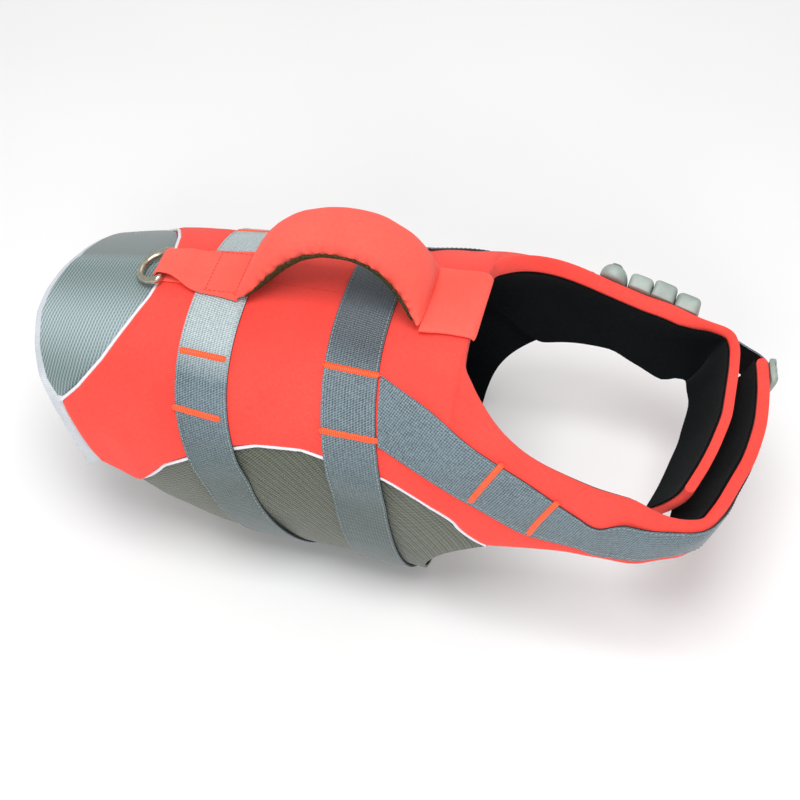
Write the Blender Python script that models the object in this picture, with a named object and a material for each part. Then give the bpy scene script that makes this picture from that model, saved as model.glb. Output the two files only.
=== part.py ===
"""Dog life jacket, standing filled out as if worn, with nobody in it.

+X points to the dog's head, +Y to its left and +Z up. The origin is the point of the back line
where the jacket's inside rests on the wearer's back. Every cloth piece is a wall between two
grids of points. A point is given by s, its place along the jacket, and phi, its angle round it
in degrees from the back line; depth is how far it lies in from the outer face. Up to the
shoulder s is the X coordinate; past it, s follows the chest band round to the front.
"""
import math

import bmesh
import bpy
import numpy as np

MM = 0.001                # lengths below are in millimetres

FOAM = 12.0               # wall of the buoyant side panels
FLAP_OUTER = 8.5          # wall of the right chest flap, which closes on the outside
FLAP_INNER = 7.0          # wall of the left chest flap, which lies inside it
ROLL = 5.0                # how far in from an edge the foam starts to round over
MESH_WALL = 2.5           # rump and belly mesh
RECESS = 3.4              # how far the mesh lies below the outer face of the foam
LINING = 1.2
GAP = 0.3                 # clearance between pieces that touch
LIFT = 0.8                # clearance below a webbing, which bridges between its points
WEB_WIDTH = 38.0
WEB_WALL = 1.6
PIPING = 1.5              # radius of the piping cord
TAB_WALL = 2.0
FRONT_TAB_WALL = 3.6      # two layers with their turned edges between
BUCKLE_WALL = 11.0
RING_WIRE = 2.7           # radius of the D-ring's wire
RING_HALF = 15.6          # half its width, to the middle of the wire
RING_DEPTH = 20.5
RING_X = -170.5
RING_REST = 23.0          # degrees that the resting ring tips down onto the rump
NECK_X = 56.5             # rear edge of the neck opening, at the back line
LEFT_BULGE = ((108, 52, 5.0), (-180, 35, 4.0))   # s, reach and height of fuller places on the left

# Cross-sections. s, then the plan position of the widest level (x, y), the way it faces (turn,
# degrees from straight out to the side), the curl of the section inward, the levels of its top,
# widest part and bottom, and the power of its superellipse.
SECTION = ("s", "x", "y", "turn", "curl", "top", "side", "bottom", "power")
TRUNK = (
    (-262, -262, 86, 0, 86, -11, -78, -141, 2.1),
    (-200, -200, 98, 0, 98, 0.5, -81, -164, 2.1),
    (-150, -150, 104, 0, 104, 8, -84, -189, 2.15),
    (-100, -100, 107, 0, 107, 12, -85, -205, 2.25),
    (-50, -50, 107, 0, 107, 13, -84, -203, 2.35),
    (0, 0, 107, 0, 107, 15.5, -83, -203, 2.5),
    (50, 50, 107, 0, 107, 23.5, -82, -203, 2.65),
    (100, 100, 107, 0, 107, 22.5, -82, -202, 2.8),
    (150, 150, 105, 0, 105, 14, -82, -199, 2.8),
)
CHEST_RIGHT = (
    (180, 180, 103.5, 3, 103, 6, -80, -188, 2.6),
    (205, 205, 101, 10, 100, 2, -70, -160, 1.95),
    (229, 228, 93, 31, 95, 0, -58, -150, 1.6),
    (250, 239.5, 77.5, 60, 92, 0, -50, -138, 1.5),
    (278, 248.5, 52, 73, 90, 0, -47, -131, 1.5),
    (309, 256.5, 22, 80, 90, 0, -47, -131, 1.5),
    (343, 260, -12, 90, 90, 0, -47, -131, 1.5),
    (371, 259, -40, 93, 90, 0, -47, -131, 1.5),
    (401, 255, -70, 98, 90, 0, -47, -131, 1.5),
)
CHEST_LEFT = (
    (180, 180, 103.5, 2, 103, 6, -80, -188, 2.6),
    (205, 205, 102, 8, 100, 2, -70, -160, 2.0),
    (223, 222, 97.5, 28, 95, 0, -58, -150, 1.7),
    (236, 231, 88, 62, 92, 0, -50, -138, 1.55),
    (254, 235, 70, 82, 90, 0, -47, -131, 1.5),
    (279, 236, 45, 89, 90, 0, -47, -131, 1.5),
    (309, 236, 15, 92, 90, 0, -47, -131, 1.5),
    (339, 232, -15, 99, 90, 0, -47, -131, 1.5),
    (370, 225, -45, 105, 90, 0, -47, -131, 1.5),
    (394, 217.5, -68, 109, 90, 0, -47, -131, 1.5),
)

# Cut of one side panel: each row is a line across it from its top edge (back line, then the rim
# of the neck opening) to its low edge (rear hem, belly seam, then the rim of the leg opening).
CUT = ("top_s", "top_phi", "low_s", "low_phi")
SIDE_CUT = (
    (-173, 0, -199, 105.6),
    (-158, 0, -185.5, 106.6),
    (-143, 0, -173, 108.5),
    (-122, 0, -146, 90.2),
    (-98, 0, -112, 77.3),
    (-74, 0, -76, 69.8),
    (-50, 0, -44, 68.5),
    (-24, 0, -16, 72.5),
    (2, 0, 14, 76.8),
    (26, 0, 34, 82.9),
    (44, 0, 47, 86.6),
    (52.5, 0, 57, 88.7),
    (NECK_X, 20, 69, 91.1),
    (63.6, 27.4, 79, 92.9),
    (71.7, 34.4, 88, 94),
    (90.3, 47.5, 104, 93),
    (110.1, 56.2, 122, 92.2),
    (135, 61.8, 142, 91.8),
)
FRONT_RIGHT_CUT = (
    (160, 65.2, 162, 92.2),
    (180, 65, 180, 93.8),
    (205, 70, 205, 101.5),
    (229, 76, 229, 117),
    (250, 84, 250, 131),
    (278, 88, 278, 137),
    (309, 88, 309, 137),
    (343, 88, 343, 137),
    (371, 88, 371, 137),
    (401, 89, 401, 136),
)
FRONT_LEFT_CUT = (
    (160, 64.5, 162, 94.3),
    (180, 62.2, 180, 98.5),
    (205, 64, 205, 109),
    (223, 70.5, 223, 123),
    (236, 78, 236, 131),
    (254, 85.5, 254, 130.5),
    (279, 88, 279, 128),
    (309, 88, 309, 130),
    (339, 88, 339, 130.5),
    (370, 88, 370, 129.5),
    (394, 89, 394, 128.5),
)

# Rear edges against phi, which is positive on the right: the V seam between the foam and the rump
# mesh, the hem, and the outer edge of the hem's binding, which turns further round the jacket and
# droops off it towards its two ends.
REAR = ("phi", "seam", "hem", "binding", "turn", "droop")
REAR_EDGE = (
    (-109, -199, -199, -212, -8, 4),
    (-88, -214, -214, -221, -6, 1),
    (-71, -227, -227, -233, -3, 0),
    (-60, -210, -229, -234, -0.5, 0),
    (-44, -191.5, -232.5, -237.5, 0, 0),
    (-26, -180, -239.5, -244.5, 0, 0),
    (-13, -175, -244.5, -249.5, 0, 0),
    (0, -173, -250.5, -255.5, 0, 0),
    (13, -176.5, -253.5, -258.7, 0, 0),
    (26, -185, -253.5, -259, 0, 0),
    (44, -198, -247.5, -253.5, 0, 0),
    (60, -213.5, -238, -245.8, 1.2, 0),
    (71, -227, -227, -235.5, 3.5, 0),
    (79, -221, -221, -228, 5.5, 0),
    (88, -214, -214, -222, 7.5, 0.3),
    (98, -206.5, -206.5, -218, 13, 2),
    (106, -199, -199, -214.5, 14, 8),
)
# Where the rump mesh and the binding beside it have their points.
RUMP_PHI = np.linspace(-68.5, 68.5, 21)
# The belly panel's seam is the side panels' low edge from row 2 to row 14; this is s on its
# middle line for each of those rows.
BELLY_MIDDLE = (-151, -124, -96, -68, -44, -22, 0, 12, 20, 26, 32, 36, 40)

# Chest webbings: s and phi of the upper and the lower edge.
WEB_RUN = ("up_s", "up_phi", "low_s", "low_phi")
CHEST_WEB_RIGHT = (
    (3.0, 30.1, 9.2, 60.5),
    (36.7, 41.9, 43.2, 72.4),
    (75.4, 56.9, 75.6, 81.2),
    (112.1, 67.2, 115.7, 88.5),
    (143.7, 77, 146, 89.6),
    (160, 81, 160, 90.2),
    (180, 76.4, 180, 90.8),
    (205, 76.5, 205, 95),
    (229, 82.5, 229, 104),
    (250, 92, 250, 117),
    (278, 101, 278, 128),
    (309, 102.5, 309, 130),
    (343, 102.5, 343, 130),
    (376, 102.5, 376, 130),
)
CHEST_WEB_LEFT = (
    (4.2, 38, 11.4, 66),
    (36.4, 50, 43.1, 77),
    (75.2, 61.5, 77, 84.5),
    (121, 63.5, 122, 86),
)
# Handle grip: x and z of its middle line, half its width and half its thickness.
GRIP = ("x", "z", "half_width", "half_wall")
HANDLE_GRIP = (
    (-108.5, 17.2, 26, 2.6),
    (-103, 21.5, 24.5, 5.5),
    (-96, 31, 21.5, 9),
    (-87, 43.5, 20, 11),
    (-76, 55, 19.5, 12),
    (-63, 63.5, 19, 12.5),
    (-48, 68.5, 19, 12.7),
    (-33, 69.5, 19, 13),
    (-18.5, 67, 19.5, 13.5),
    (-5.5, 60, 20.5, 13.5),
    (5, 50, 22.5, 12.5),
    (12, 39.5, 25, 10.5),
    (16.5, 30.5, 28, 7),
    (19.6, 26, 31, 3.6),
)


def hexa(code):
    """Linear colour of an sRGB hex code."""
    parts = [int(code[i:i + 2], 16) / 255 for i in (0, 2, 4)]
    linear = [c / 12.92 if c <= 0.04045 else ((c + 0.055) / 1.055) ** 2.4 for c in parts]
    return (*linear, 1.0)


# Colour, roughness, metallic
FINISH = {
    "coral_neoprene": (hexa("FF5248"), 0.62, 0.0),
    "black_lining": (hexa("0E1214"), 0.85, 0.0),
    "grey_rump_mesh": (hexa("8FA3A3"), 0.7, 0.0),
    "olive_belly_mesh": (hexa("62665C"), 0.75, 0.0),
    "white_piping": (hexa("E8EAF0"), 0.5, 0.0),
    "grey_webbing": (hexa("6B7F85"), 0.6, 0.0),
    "grey_plastic": (hexa("A3AFA8"), 0.45, 0.0),
    "nickel": (hexa("C8C4B0"), 0.28, 1.0),
}


def column(table, names, name):
    """One named column of a table."""
    return np.array([row[names.index(name)] for row in table], dtype=float)


def smooth(xs, ys, x):
    """Curve through the rows of a table that never swings past them."""
    x = np.asarray(x, dtype=float)
    width = np.diff(xs)
    rise = np.diff(ys) / width
    slope = np.empty(len(xs))
    slope[0] = rise[0]
    slope[-1] = rise[-1]
    same = rise[:-1] * rise[1:] > 0
    total = np.where(same, rise[:-1] + rise[1:], 1.0)
    slope[1:-1] = np.where(same, 2 * rise[:-1] * rise[1:] / total, 0.0)
    i = np.clip(np.searchsorted(xs, x, side="right") - 1, 0, len(xs) - 2)
    t = np.clip((x - xs[i]) / width[i], 0.0, 1.0)
    curve = ys[i] * (1 + 2 * t) * (1 - t) ** 2 + ys[i + 1] * t * t * (3 - 2 * t)
    return curve + width[i] * (slope[i] * t * (1 - t) ** 2 - slope[i + 1] * t * t * (1 - t))


def outer(side, s, phi):
    """Points of the outer face; side is -1 on the right and +1 on the left."""
    s, phi = np.broadcast_arrays(np.asarray(s, dtype=float), np.asarray(phi, dtype=float))
    table = TRUNK + (CHEST_RIGHT if side < 0 else CHEST_LEFT)
    stations = column(table, SECTION, "s")
    x, y, turn, curl, top, widest, bottom, power = (
        smooth(stations, column(table, SECTION, name), s) for name in SECTION[1:])
    angle = np.radians(phi)
    across = np.sign(np.sin(angle)) * np.abs(np.sin(angle)) ** (2 / power)
    up = np.sign(np.cos(angle)) * np.abs(np.cos(angle)) ** (2 / power)
    z = widest + np.where(up > 0, top - widest, widest - bottom) * up
    inward = curl * (across - 1)
    px = x + np.sin(np.radians(turn)) * inward
    py = y + np.cos(np.radians(turn)) * inward
    fuller = sum(high * np.exp(-((s - place) / reach) ** 2) for place, reach, high in LEFT_BULGE)
    return np.stack([px, side * py + fuller * np.clip(side * across, 0, 1), z], axis=-1)


def normal(side, s, phi):
    """Outward unit vectors of the outer face."""
    along = outer(side, s + 0.8, phi) - outer(side, s - 0.8, phi)
    around = outer(side, s, phi + 1.0) - outer(side, s, phi - 1.0)
    n = np.cross(along, around) * side
    return n / np.linalg.norm(n, axis=-1, keepdims=True)


def at(side, s, phi, depth):
    """Points at a depth below the outer face; a negative depth stands proud of it."""
    s, phi = np.broadcast_arrays(np.asarray(s, dtype=float), np.asarray(phi, dtype=float))
    depth = np.broadcast_to(depth, s.shape)
    return outer(side, s, phi) - normal(side, s, phi) * depth[..., None]


def material(name):
    """The named finish, made once."""
    if name in bpy.data.materials:
        return bpy.data.materials[name]
    colour, roughness, metallic = FINISH[name]
    mat = bpy.data.materials.new(name)
    mat.use_nodes = True
    shader = mat.node_tree.nodes["Principled BSDF"]
    shader.inputs["Base Color"].default_value = colour
    shader.inputs["Roughness"].default_value = roughness
    shader.inputs["Metallic"].default_value = metallic
    return mat


def body(name, points, faces, finish, origin=(0.0, 0.0, 0.0)):
    """One closed solid from points in millimetres, with its object origin at a given point."""
    mesh = bpy.data.meshes.new(name)
    local = (np.asarray(points) - np.asarray(origin)) * MM
    mesh.from_pydata(local.tolist(), [], faces)
    work = bmesh.new()
    work.from_mesh(mesh)
    bmesh.ops.recalc_face_normals(work, faces=work.faces)
    if work.calc_volume(signed=True) < 0:
        bmesh.ops.reverse_faces(work, faces=work.faces)
    bmesh.ops.triangulate(work, faces=work.faces)
    work.to_mesh(mesh)
    work.free()
    mesh.shade_smooth()
    mesh.set_sharp_from_angle(angle=math.radians(40))
    mesh.materials.append(material(finish))
    piece = bpy.data.objects.new(name, mesh)
    piece.location = np.asarray(origin) * MM
    bpy.context.collection.objects.link(piece)
    return piece


def wall(name, face, back, finish):
    """Closed wall between an outer grid of points and an inner grid of the same size."""
    rows, cols = face.shape[:2]
    size = rows * cols
    index = np.arange(size).reshape(rows, cols)
    quads = []
    for i in range(rows - 1):
        for j in range(cols - 1):
            a, b, c, d = index[i, j], index[i + 1, j], index[i + 1, j + 1], index[i, j + 1]
            quads += [(a, b, c), (a, c, d)]
            quads += [(a + size, c + size, b + size), (a + size, d + size, c + size)]
    ring = list(index[:, 0]) + list(index[-1, 1:]) + list(index[-2::-1, -1]) + list(index[0, -2:0:-1])
    for a, b in zip(ring, ring[1:] + ring[:1]):
        quads.append((b, a, a + size, b + size))
    faces = [tuple(int(k) for k in quad) for quad in quads]
    points = np.concatenate([face.reshape(-1, 3), back.reshape(-1, 3)])
    return body(name, points, faces, finish)


def tube(name, path, radius, sides, finish, closed=False, origin=(0.0, 0.0, 0.0)):
    """Round cord or wire along a path of points."""
    path = np.asarray(path, dtype=float)
    count = len(path)
    if closed:
        tangent = np.roll(path, -1, axis=0) - np.roll(path, 1, axis=0)
    else:
        tangent = np.gradient(path, axis=0)
    tangent /= np.linalg.norm(tangent, axis=1, keepdims=True)
    aside = np.cross(tangent, [0.13, 0.21, 0.97])
    aside /= np.linalg.norm(aside, axis=1, keepdims=True)
    above = np.cross(aside, tangent)
    turn = np.arange(sides) * 2 * math.pi / sides
    circle = aside[:, None] * np.cos(turn)[None, :, None] + above[:, None] * np.sin(turn)[None, :, None]
    points = (path[:, None] + radius * circle).reshape(-1, 3)
    faces = []
    for i in range(count if closed else count - 1):
        for j in range(sides):
            k = (i + 1) % count
            m = (j + 1) % sides
            faces.append((i * sides + j, k * sides + j, k * sides + m, i * sides + m))
    if not closed:
        faces.append(tuple(range(sides))[::-1])
        faces.append(tuple(range((count - 1) * sides, count * sides)))
    return body(name, points, faces, finish, origin)


def rear_s(phi, name):
    """One column of the rear edges at an angle."""
    return np.interp(phi, column(REAR_EDGE, REAR, "phi"), column(REAR_EDGE, REAR, name))


def side_grid(side):
    """s, phi and edge distances of a side panel's points, from its cut."""
    cut = SIDE_CUT + (FRONT_RIGHT_CUT if side < 0 else FRONT_LEFT_CUT)
    last = len(cut) - 1
    t = np.concatenate([[0.0, 0.1, 0.33], np.arange(1.0, 21.0), np.arange(20.5, last - 3, 0.5),
                        np.arange(last - 3, last - 0.5), [last - 0.17, last - 0.05, last]])
    t = np.unique(t)
    rows = np.arange(last + 1.0)
    top_s, top_phi, low_s, low_phi = (smooth(rows, column(cut, CUT, n), t) for n in CUT)
    start = outer(side, top_s, top_phi)
    finish = outer(side, low_s, low_phi)
    length = np.linalg.norm(finish - start, axis=1) * 1.12
    rolls = np.array([0.0, 1.5, ROLL])
    inner = np.linspace(0.0, 1.0, 9)[1:-1]
    v = np.empty((len(t), 13))
    for k in range(len(t)):
        edge = rolls / length[k]
        v[k] = np.concatenate([edge, edge[2] + inner * (1 - 2 * edge[2]), 1 - edge[::-1]])
    lean = v ** 1.8
    s = top_s[:, None] * (1 - lean) + low_s[:, None] * lean
    phi = top_phi[:, None] * (1 - v) + low_phi[:, None] * v
    reach = np.clip(1 - t / 4, 0, 1)[:, None] ** 2
    base = -173 * (1 - lean) - 199 * lean
    s = s + (rear_s(-side * phi, "seam") - base) * reach
    from_low = (1 - v) * length[:, None]
    from_top = v * length[:, None] + np.where(top_phi[:, None] < 10, 1e3, 0.0)
    from_rear = np.where(t < 1.5, t * 15.0, 1e3)[:, None]
    from_front = np.where(last - t < 1.5, (last - t) * 30.0, 1e3)[:, None]
    edge = np.minimum(np.minimum(from_low, from_top), np.minimum(from_rear, from_front))
    return t, s, phi, edge


def thickness(side, s):
    """Wall of the side panel, thinner on the chest flaps."""
    flap = FLAP_OUTER if side < 0 else FLAP_INNER
    bend = (200, 240) if side < 0 else (190, 212)
    return np.interp(s, bend, (FOAM, flap))


def side_panel(side, name):
    """Foam side with its shoulder band and chest flap, one cut piece with a rolled edge."""
    t, s, phi, edge = side_grid(side)
    full = thickness(side, s) / 2
    part = np.clip(edge / ROLL, 0, 1)
    half = full * np.maximum(np.sqrt(1 - (1 - part) ** 2), 0.3)
    face = at(side, s, phi, full - half)
    back = at(side, s, phi, full + half)
    for grid in (face, back):
        row = np.abs(phi) < 1e-6
        grid[..., 1] = np.where(row, side * 0.2, grid[..., 1])
    wall(name, face, back, "coral_neoprene")


def lining(side, name):
    """Thin black cloth on the whole inner face of a side panel, just short of its edges."""
    t, s, phi, edge = side_grid(side)
    pick = np.concatenate([np.arange(2, 13, 2), np.arange(13, len(t) - 2)])
    s = s[pick][:, 2:-2]
    phi = phi[pick][:, 2:-2]
    depth = thickness(side, s) + GAP + 1.2
    face = at(side, s, phi, depth)
    back = at(side, s, phi, depth + LINING)
    wall(name, face, back, "black_lining")


def rump_panel():
    """Mesh over the rump, between the V seam and the hem."""
    phi = RUMP_PHI
    v = np.linspace(0, 1, 5)
    seam = rear_s(phi, "seam") - 1.6
    hem = rear_s(phi, "hem")
    s = seam[:, None] * (1 - v) + hem[:, None] * v
    ring = np.repeat(phi[:, None], len(v), axis=1)
    wall("rump_panel", at(1, s, -ring, RECESS), at(1, s, -ring, RECESS + MESH_WALL), "grey_rump_mesh")


def belly_panel():
    """Mesh under the chest and belly, from the right seam round to the left one."""
    rows = SIDE_CUT[2:15]
    k = np.arange(len(rows), dtype=float)
    t = k
    seam_s = smooth(k, column(rows, CUT, "low_s"), t)
    seam_phi = smooth(k, column(rows, CUT, "low_phi"), t)
    middle = smooth(k, np.array(BELLY_MIDDLE, dtype=float), t)
    v = np.linspace(-1, 1, 21)
    pull = 1 - np.abs(v) ** 9
    fuller = 11 * np.clip(v, 0, 1) * (k[:, None] / k[-1]) ** 4
    s = seam_s[:, None] * (1 - pull) + (middle[:, None] + fuller) * pull
    phi = 180 - (180 - seam_phi[:, None] - 0.35) * -v
    wall("belly_panel", at(-1, s, phi, RECESS), at(-1, s, phi, RECESS + MESH_WALL), "olive_belly_mesh")


def hem_binding():
    """White tape that closes the rear hem, wider towards its two cut ends."""
    ends = np.array([71, 79, 88, 98, 105.6])
    phi = np.concatenate([-ends[::-1], RUMP_PHI, ends])
    v = np.linspace(0, 1, 3)
    near = rear_s(phi, "hem") - np.where(np.abs(phi) > 69, 1.0, GAP)
    far = rear_s(phi, "binding")
    s = near[:, None] * (1 - v) + far[:, None] * v
    ring = phi[:, None] + rear_s(phi, "turn")[:, None] * v
    depth = RECESS - rear_s(phi, "droop")[:, None] * v * v
    wall("hem_binding", at(1, s, -ring, depth), at(1, s, -ring, depth + 2.6), "white_piping")


def pipings():
    """White cords in the seams: one along the V seam and one down each belly seam."""
    phi = np.concatenate([-np.linspace(70, 10, 10), [-3, 0, 3], np.linspace(10, 70, 10)])
    tube("piping_rump", at(1, rear_s(phi, "seam") - 1.0, -phi, 1.6), PIPING, 6, "white_piping")
    rows = SIDE_CUT[2:15]
    k = np.arange(len(rows), dtype=float)
    t = np.linspace(0.1, len(rows) - 1.06, 21)
    s = np.interp(t, k, column(rows, CUT, "low_s"))
    phi = np.interp(t, k, column(rows, CUT, "low_phi")) + 0.7
    tube("piping_belly_right", at(-1, s, phi, 1.6), PIPING, 6, "white_piping")
    tube("piping_belly_left", at(1, s, phi, 1.6), PIPING, 6, "white_piping")


def sunk(s, phi):
    """Depth of the surface under a webbing: 0 on the foam, more on the belly mesh."""
    rows = SIDE_CUT[2:15]
    seam = np.interp(s, column(rows, CUT, "low_s"), column(rows, CUT, "low_phi"))
    past = 180 - np.abs(180 - np.mod(phi, 360)) - seam
    step = np.clip((past - 7.0) / 6.0, 0, 1)
    return RECESS * step * step * (3 - 2 * step)


def girth_s(phi, start, sweep, power):
    """Middle line of a girth webbing, which slants forward as it goes down."""
    return start + sweep * (1 - np.cos(np.radians(phi))) ** power


def girth_webbing(name, start, sweep, power, clasp):
    """Webbing from the buckle on the left, over the back, down the right and under the belly."""
    phi = np.linspace(0.5 - clasp, 322 - clasp, 45)
    v = np.array([-0.5, 0.5])
    s = girth_s(phi, start, sweep, power)[:, None] + WEB_WIDTH * v[None, :]
    ring = np.repeat(phi[:, None], len(v), axis=1)
    low = sunk(s, ring) - LIFT - 0.15
    wall(name, at(-1, s, ring, low - WEB_WALL), at(-1, s, ring, low), "grey_webbing")


def chest_webbing(side, name, table):
    """Webbing along the shoulder band, from the front girth webbing towards the chest."""
    k = np.arange(len(table), dtype=float)
    t = np.arange(0, len(table) - 0.9, 0.5)
    up_s, up_phi, low_s, low_phi = (smooth(k, column(table, WEB_RUN, n), t) for n in WEB_RUN)
    v = np.linspace(0, 1, 4)
    s = up_s[:, None] * (1 - v) + low_s[:, None] * v
    phi = up_phi[:, None] * (1 - v) + low_phi[:, None] * v
    rise = LIFT + 0.55
    wall(name, at(side, s, phi, -rise - WEB_WALL), at(side, s, phi, -rise), "grey_webbing")


def on_back(x, y):
    """Height of the outer face at a point near the back line."""
    names = ("curl", "top", "side", "power")
    curl, top, widest, power = (smooth(column(TRUNK, SECTION, "s"), column(TRUNK, SECTION, n), x) for n in names)
    return widest + (top - widest) * (1 - (np.abs(y) / curl) ** power) ** (1 / power)


def strip(name, line, half, finish, wall_mm):
    """Folded strip over the back: line holds x and height above the back, half its half-width."""
    line = np.asarray(line, dtype=float)
    step = np.gradient(line, axis=0)
    step /= np.linalg.norm(step, axis=1, keepdims=True)
    out = np.stack([-step[:, 1], step[:, 0]], axis=1)
    v = np.linspace(-1, 1, 5)
    y = np.asarray(half)[:, None] * v[None, :]
    grids = []
    for shift in (0.0, wall_mm):
        x = (line[:, 0] + out[:, 0] * shift)[:, None] + 0 * y
        lift = (line[:, 1] + out[:, 1] * shift)[:, None]
        level = on_back(x, y * np.clip((x + 158) / 12, 0, 1))
        grids.append(np.stack([x, y, level + lift], axis=-1))
    wall(name, grids[1], grids[0], finish)


def handle():
    """Padded grip, its front tab that turns down over the neck edge, and its rear tab."""
    rows = np.arange(len(HANDLE_GRIP), dtype=float)
    t = np.linspace(0, len(rows) - 1, 22)
    x, z, wide, thick = (smooth(rows, column(HANDLE_GRIP, GRIP, n), t) for n in GRIP)
    step = np.stack([np.gradient(x), np.gradient(z)], axis=1)
    step /= np.linalg.norm(step, axis=1, keepdims=True)
    turn = np.arange(12) * 2 * math.pi / 12
    side = np.cos(turn)[None, :] * wide[:, None]
    rise = np.sign(np.sin(turn)) * np.abs(np.sin(turn)) ** 0.8
    rise = rise[None, :] * thick[:, None]
    points = np.stack([x[:, None] - step[:, 1:] * rise, side, z[:, None] + step[:, :1] * rise], axis=-1)
    count, sides = points.shape[:2]
    faces = []
    for i in range(count - 1):
        for j in range(sides):
            m = (j + 1) % sides
            faces.append((i * sides + j, i * sides + m, (i + 1) * sides + m, (i + 1) * sides + j))
    faces.append(tuple(range(sides)))
    faces.append(tuple(range((count - 1) * sides, count * sides))[::-1])
    body("handle_grip", points.reshape(-1, 3), faces, "coral_neoprene")
    front = [(20.4, 3.2), (27, 2.4), (34, 1.6), (41, 1.2), (47, 1.2), (52, 1.1), (55.2, 0.4), (56.6, -1.6)]
    strip("handle_front_tab", front[::-1], [31, 31.5, 32, 32, 31.5, 31.5, 32, 32], "coral_neoprene", -FRONT_TAB_WALL)
    bore = RING_WIRE + 0.55
    middle = bore + TAB_WALL + 0.4
    bend = [(RING_X + (bore) * -math.sin(a), middle - (bore) * math.cos(a))
            for a in np.radians(np.linspace(0, 180, 9))]
    under = [(-150, middle - bore), (-160, middle - bore)]
    over = [(-164, middle + bore - 0.3), (-156, middle + 1.2), (-148, 3.7), (-138, 3.0), (-124, 2.9), (-109.2, 2.9)]
    half = [13.6, 12.9] + [12.5] * 9 + [13.2, 16.2, 19.2, 22, 23.6, 26]
    strip("handle_rear_tab", under + bend + over, half, "coral_neoprene", TAB_WALL)
    return middle


def d_ring(middle):
    """Welded wire ring whose straight bar lies in the fold of the rear tab."""
    z = float(on_back(np.array(RING_X), np.array(0.0))) + middle
    corner = 2.8
    arc = np.radians(np.linspace(0, 180, 15))
    radius = RING_HALF
    straight = RING_DEPTH - radius
    loop = [(0.0, y) for y in np.linspace(-RING_HALF + corner, RING_HALF - corner, 7)]
    loop += [(-corner * (1 - math.cos(a)), RING_HALF - corner + corner * math.sin(a))
             for a in np.radians((30, 60, 90))]
    loop += [(-straight - radius * math.sin(a), radius * math.cos(a)) for a in arc]
    loop += [(-corner * (1 - math.cos(a)), -RING_HALF + corner - corner * math.sin(a))
             for a in np.radians((90, 60, 30))]
    tip = math.radians(RING_REST)
    points = [(RING_X + u * math.cos(tip), v, z + u * math.sin(tip)) for u, v in loop]
    tube("d_ring", points, RING_WIRE, 10, "nickel", closed=True, origin=(RING_X, 0.0, z))


def block(side, name, s_range, phi_range, low, high, finish="grey_plastic", waist=0.0, slant=None):
    """Rounded plastic block lying on the panel; its grid runs along s and phi."""
    u = np.array([0, 0.05, 0.14, 0.5, 0.86, 0.95, 1.0])
    v = np.array([0, 0.06, 0.16, 0.38, 0.62, 0.84, 0.94, 1.0])
    s = s_range[0] + (s_range[1] - s_range[0]) * u[:, None] + 0 * v[None, :]
    phi = phi_range[0] + (phi_range[1] - phi_range[0]) * v[None, :] + 0 * u[:, None]
    centre = (phi_range[0] + phi_range[1]) / 2
    phi = centre + (phi - centre) * (1 - waist * np.sin(np.pi * u[:, None]))
    if slant is not None:
        s = s + girth_s(phi, *slant)
    rise = np.minimum(1, np.minimum(u, 1 - u) / 0.14)[:, None]
    rise = np.minimum(rise, np.minimum(1, np.minimum(v, 1 - v) / 0.16)[None, :])
    top = low + (high - low) * (0.45 + 0.55 * np.sqrt(1 - (1 - rise) ** 2))
    wall(name, at(side, s, phi, -top), at(side, s, phi, -low + 0 * top), finish)


def closures():
    """Buckles, slider and closing strap on the left."""
    block(1, "chest_keeper", (124, 145), (60, 85), 1.0, 14.0)
    block(1, "chest_buckle_female", (146.2, 181.6), (63, 88), 1.0, 14.0)
    block(1, "chest_buckle_male", (182, 200.4), (65, 88), 1.0, 13.5)
    for name, *route, clasp in GIRTHS:
        female = (clasp, clasp + 17)
        male = (clasp + 17.4, clasp + 37.5)
        block(1, name + "_buckle_female", (-24, 24), female, 1 - RECESS, 12.5 - RECESS, slant=route)
        block(1, name + "_buckle_male", (-23, 23), male, 1 - RECESS, 11.5 - RECESS, slant=route)
    plan = [(201.4, 104.2), (212, 103.3), (223, 100.6), (232, 96.2), (240.5, 91), (247.5, 86), (252.7, 79.6), (255.4, 72.6)]
    plan = np.array(plan)
    step = np.gradient(plan, axis=0)
    step /= np.linalg.norm(step, axis=1, keepdims=True)
    outward = np.stack([-step[:, 1], step[:, 0]], axis=1)
    share = np.linspace(0, 1, len(plan))[:, None]
    low, high = -93 + share, -57 - 5 * np.sin(math.pi * share)
    level = low + (high - low) * np.linspace(0, 1, 3)
    lean = share * (level - high) * 0.28
    grids = []
    for shift in (1.0, 1.0 + WEB_WALL):
        line = plan + outward * shift
        grids.append(np.stack([line[:, :1] + lean, line[:, 1:] - lean, level], axis=-1))
    wall("chest_strap", grids[1], grids[0], "grey_webbing")
    block(-1, "chest_slider", (378.2, 400.5), (82, 112), 1.0, 5.5)


GIRTHS = (
    ("girth_rear", -122.5, 23.0, 1.7, 88),
    ("girth_front", -20.5, 19.0, 1.0, 82),
)

for old in list(bpy.data.objects):
    bpy.data.objects.remove(old, do_unlink=True)

side_panel(-1, "side_panel_right")
side_panel(1, "side_panel_left")
lining(-1, "lining_right")
lining(1, "lining_left")
rump_panel()
belly_panel()
hem_binding()
pipings()
for girth in GIRTHS:
    girth_webbing(girth[0] + "_webbing", *girth[1:])
chest_webbing(-1, "chest_webbing_right", CHEST_WEB_RIGHT)
chest_webbing(1, "chest_webbing_left", CHEST_WEB_LEFT)
bar_height = handle()
d_ring(bar_height)
closures()
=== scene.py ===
"""Dog life jacket, filled out as if worn, with nobody in it.

The sections follow the jacket as it is sewn together. Tables are in millimetres and degrees. s is
the place along the jacket: the X coordinate up to the shoulder, then the length along the chest
band. phi is the angle round it from the back line, and depth is how far a point lies in from the
outer face. A side is -1 for the right and 1 for the left.
"""
import math

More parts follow.
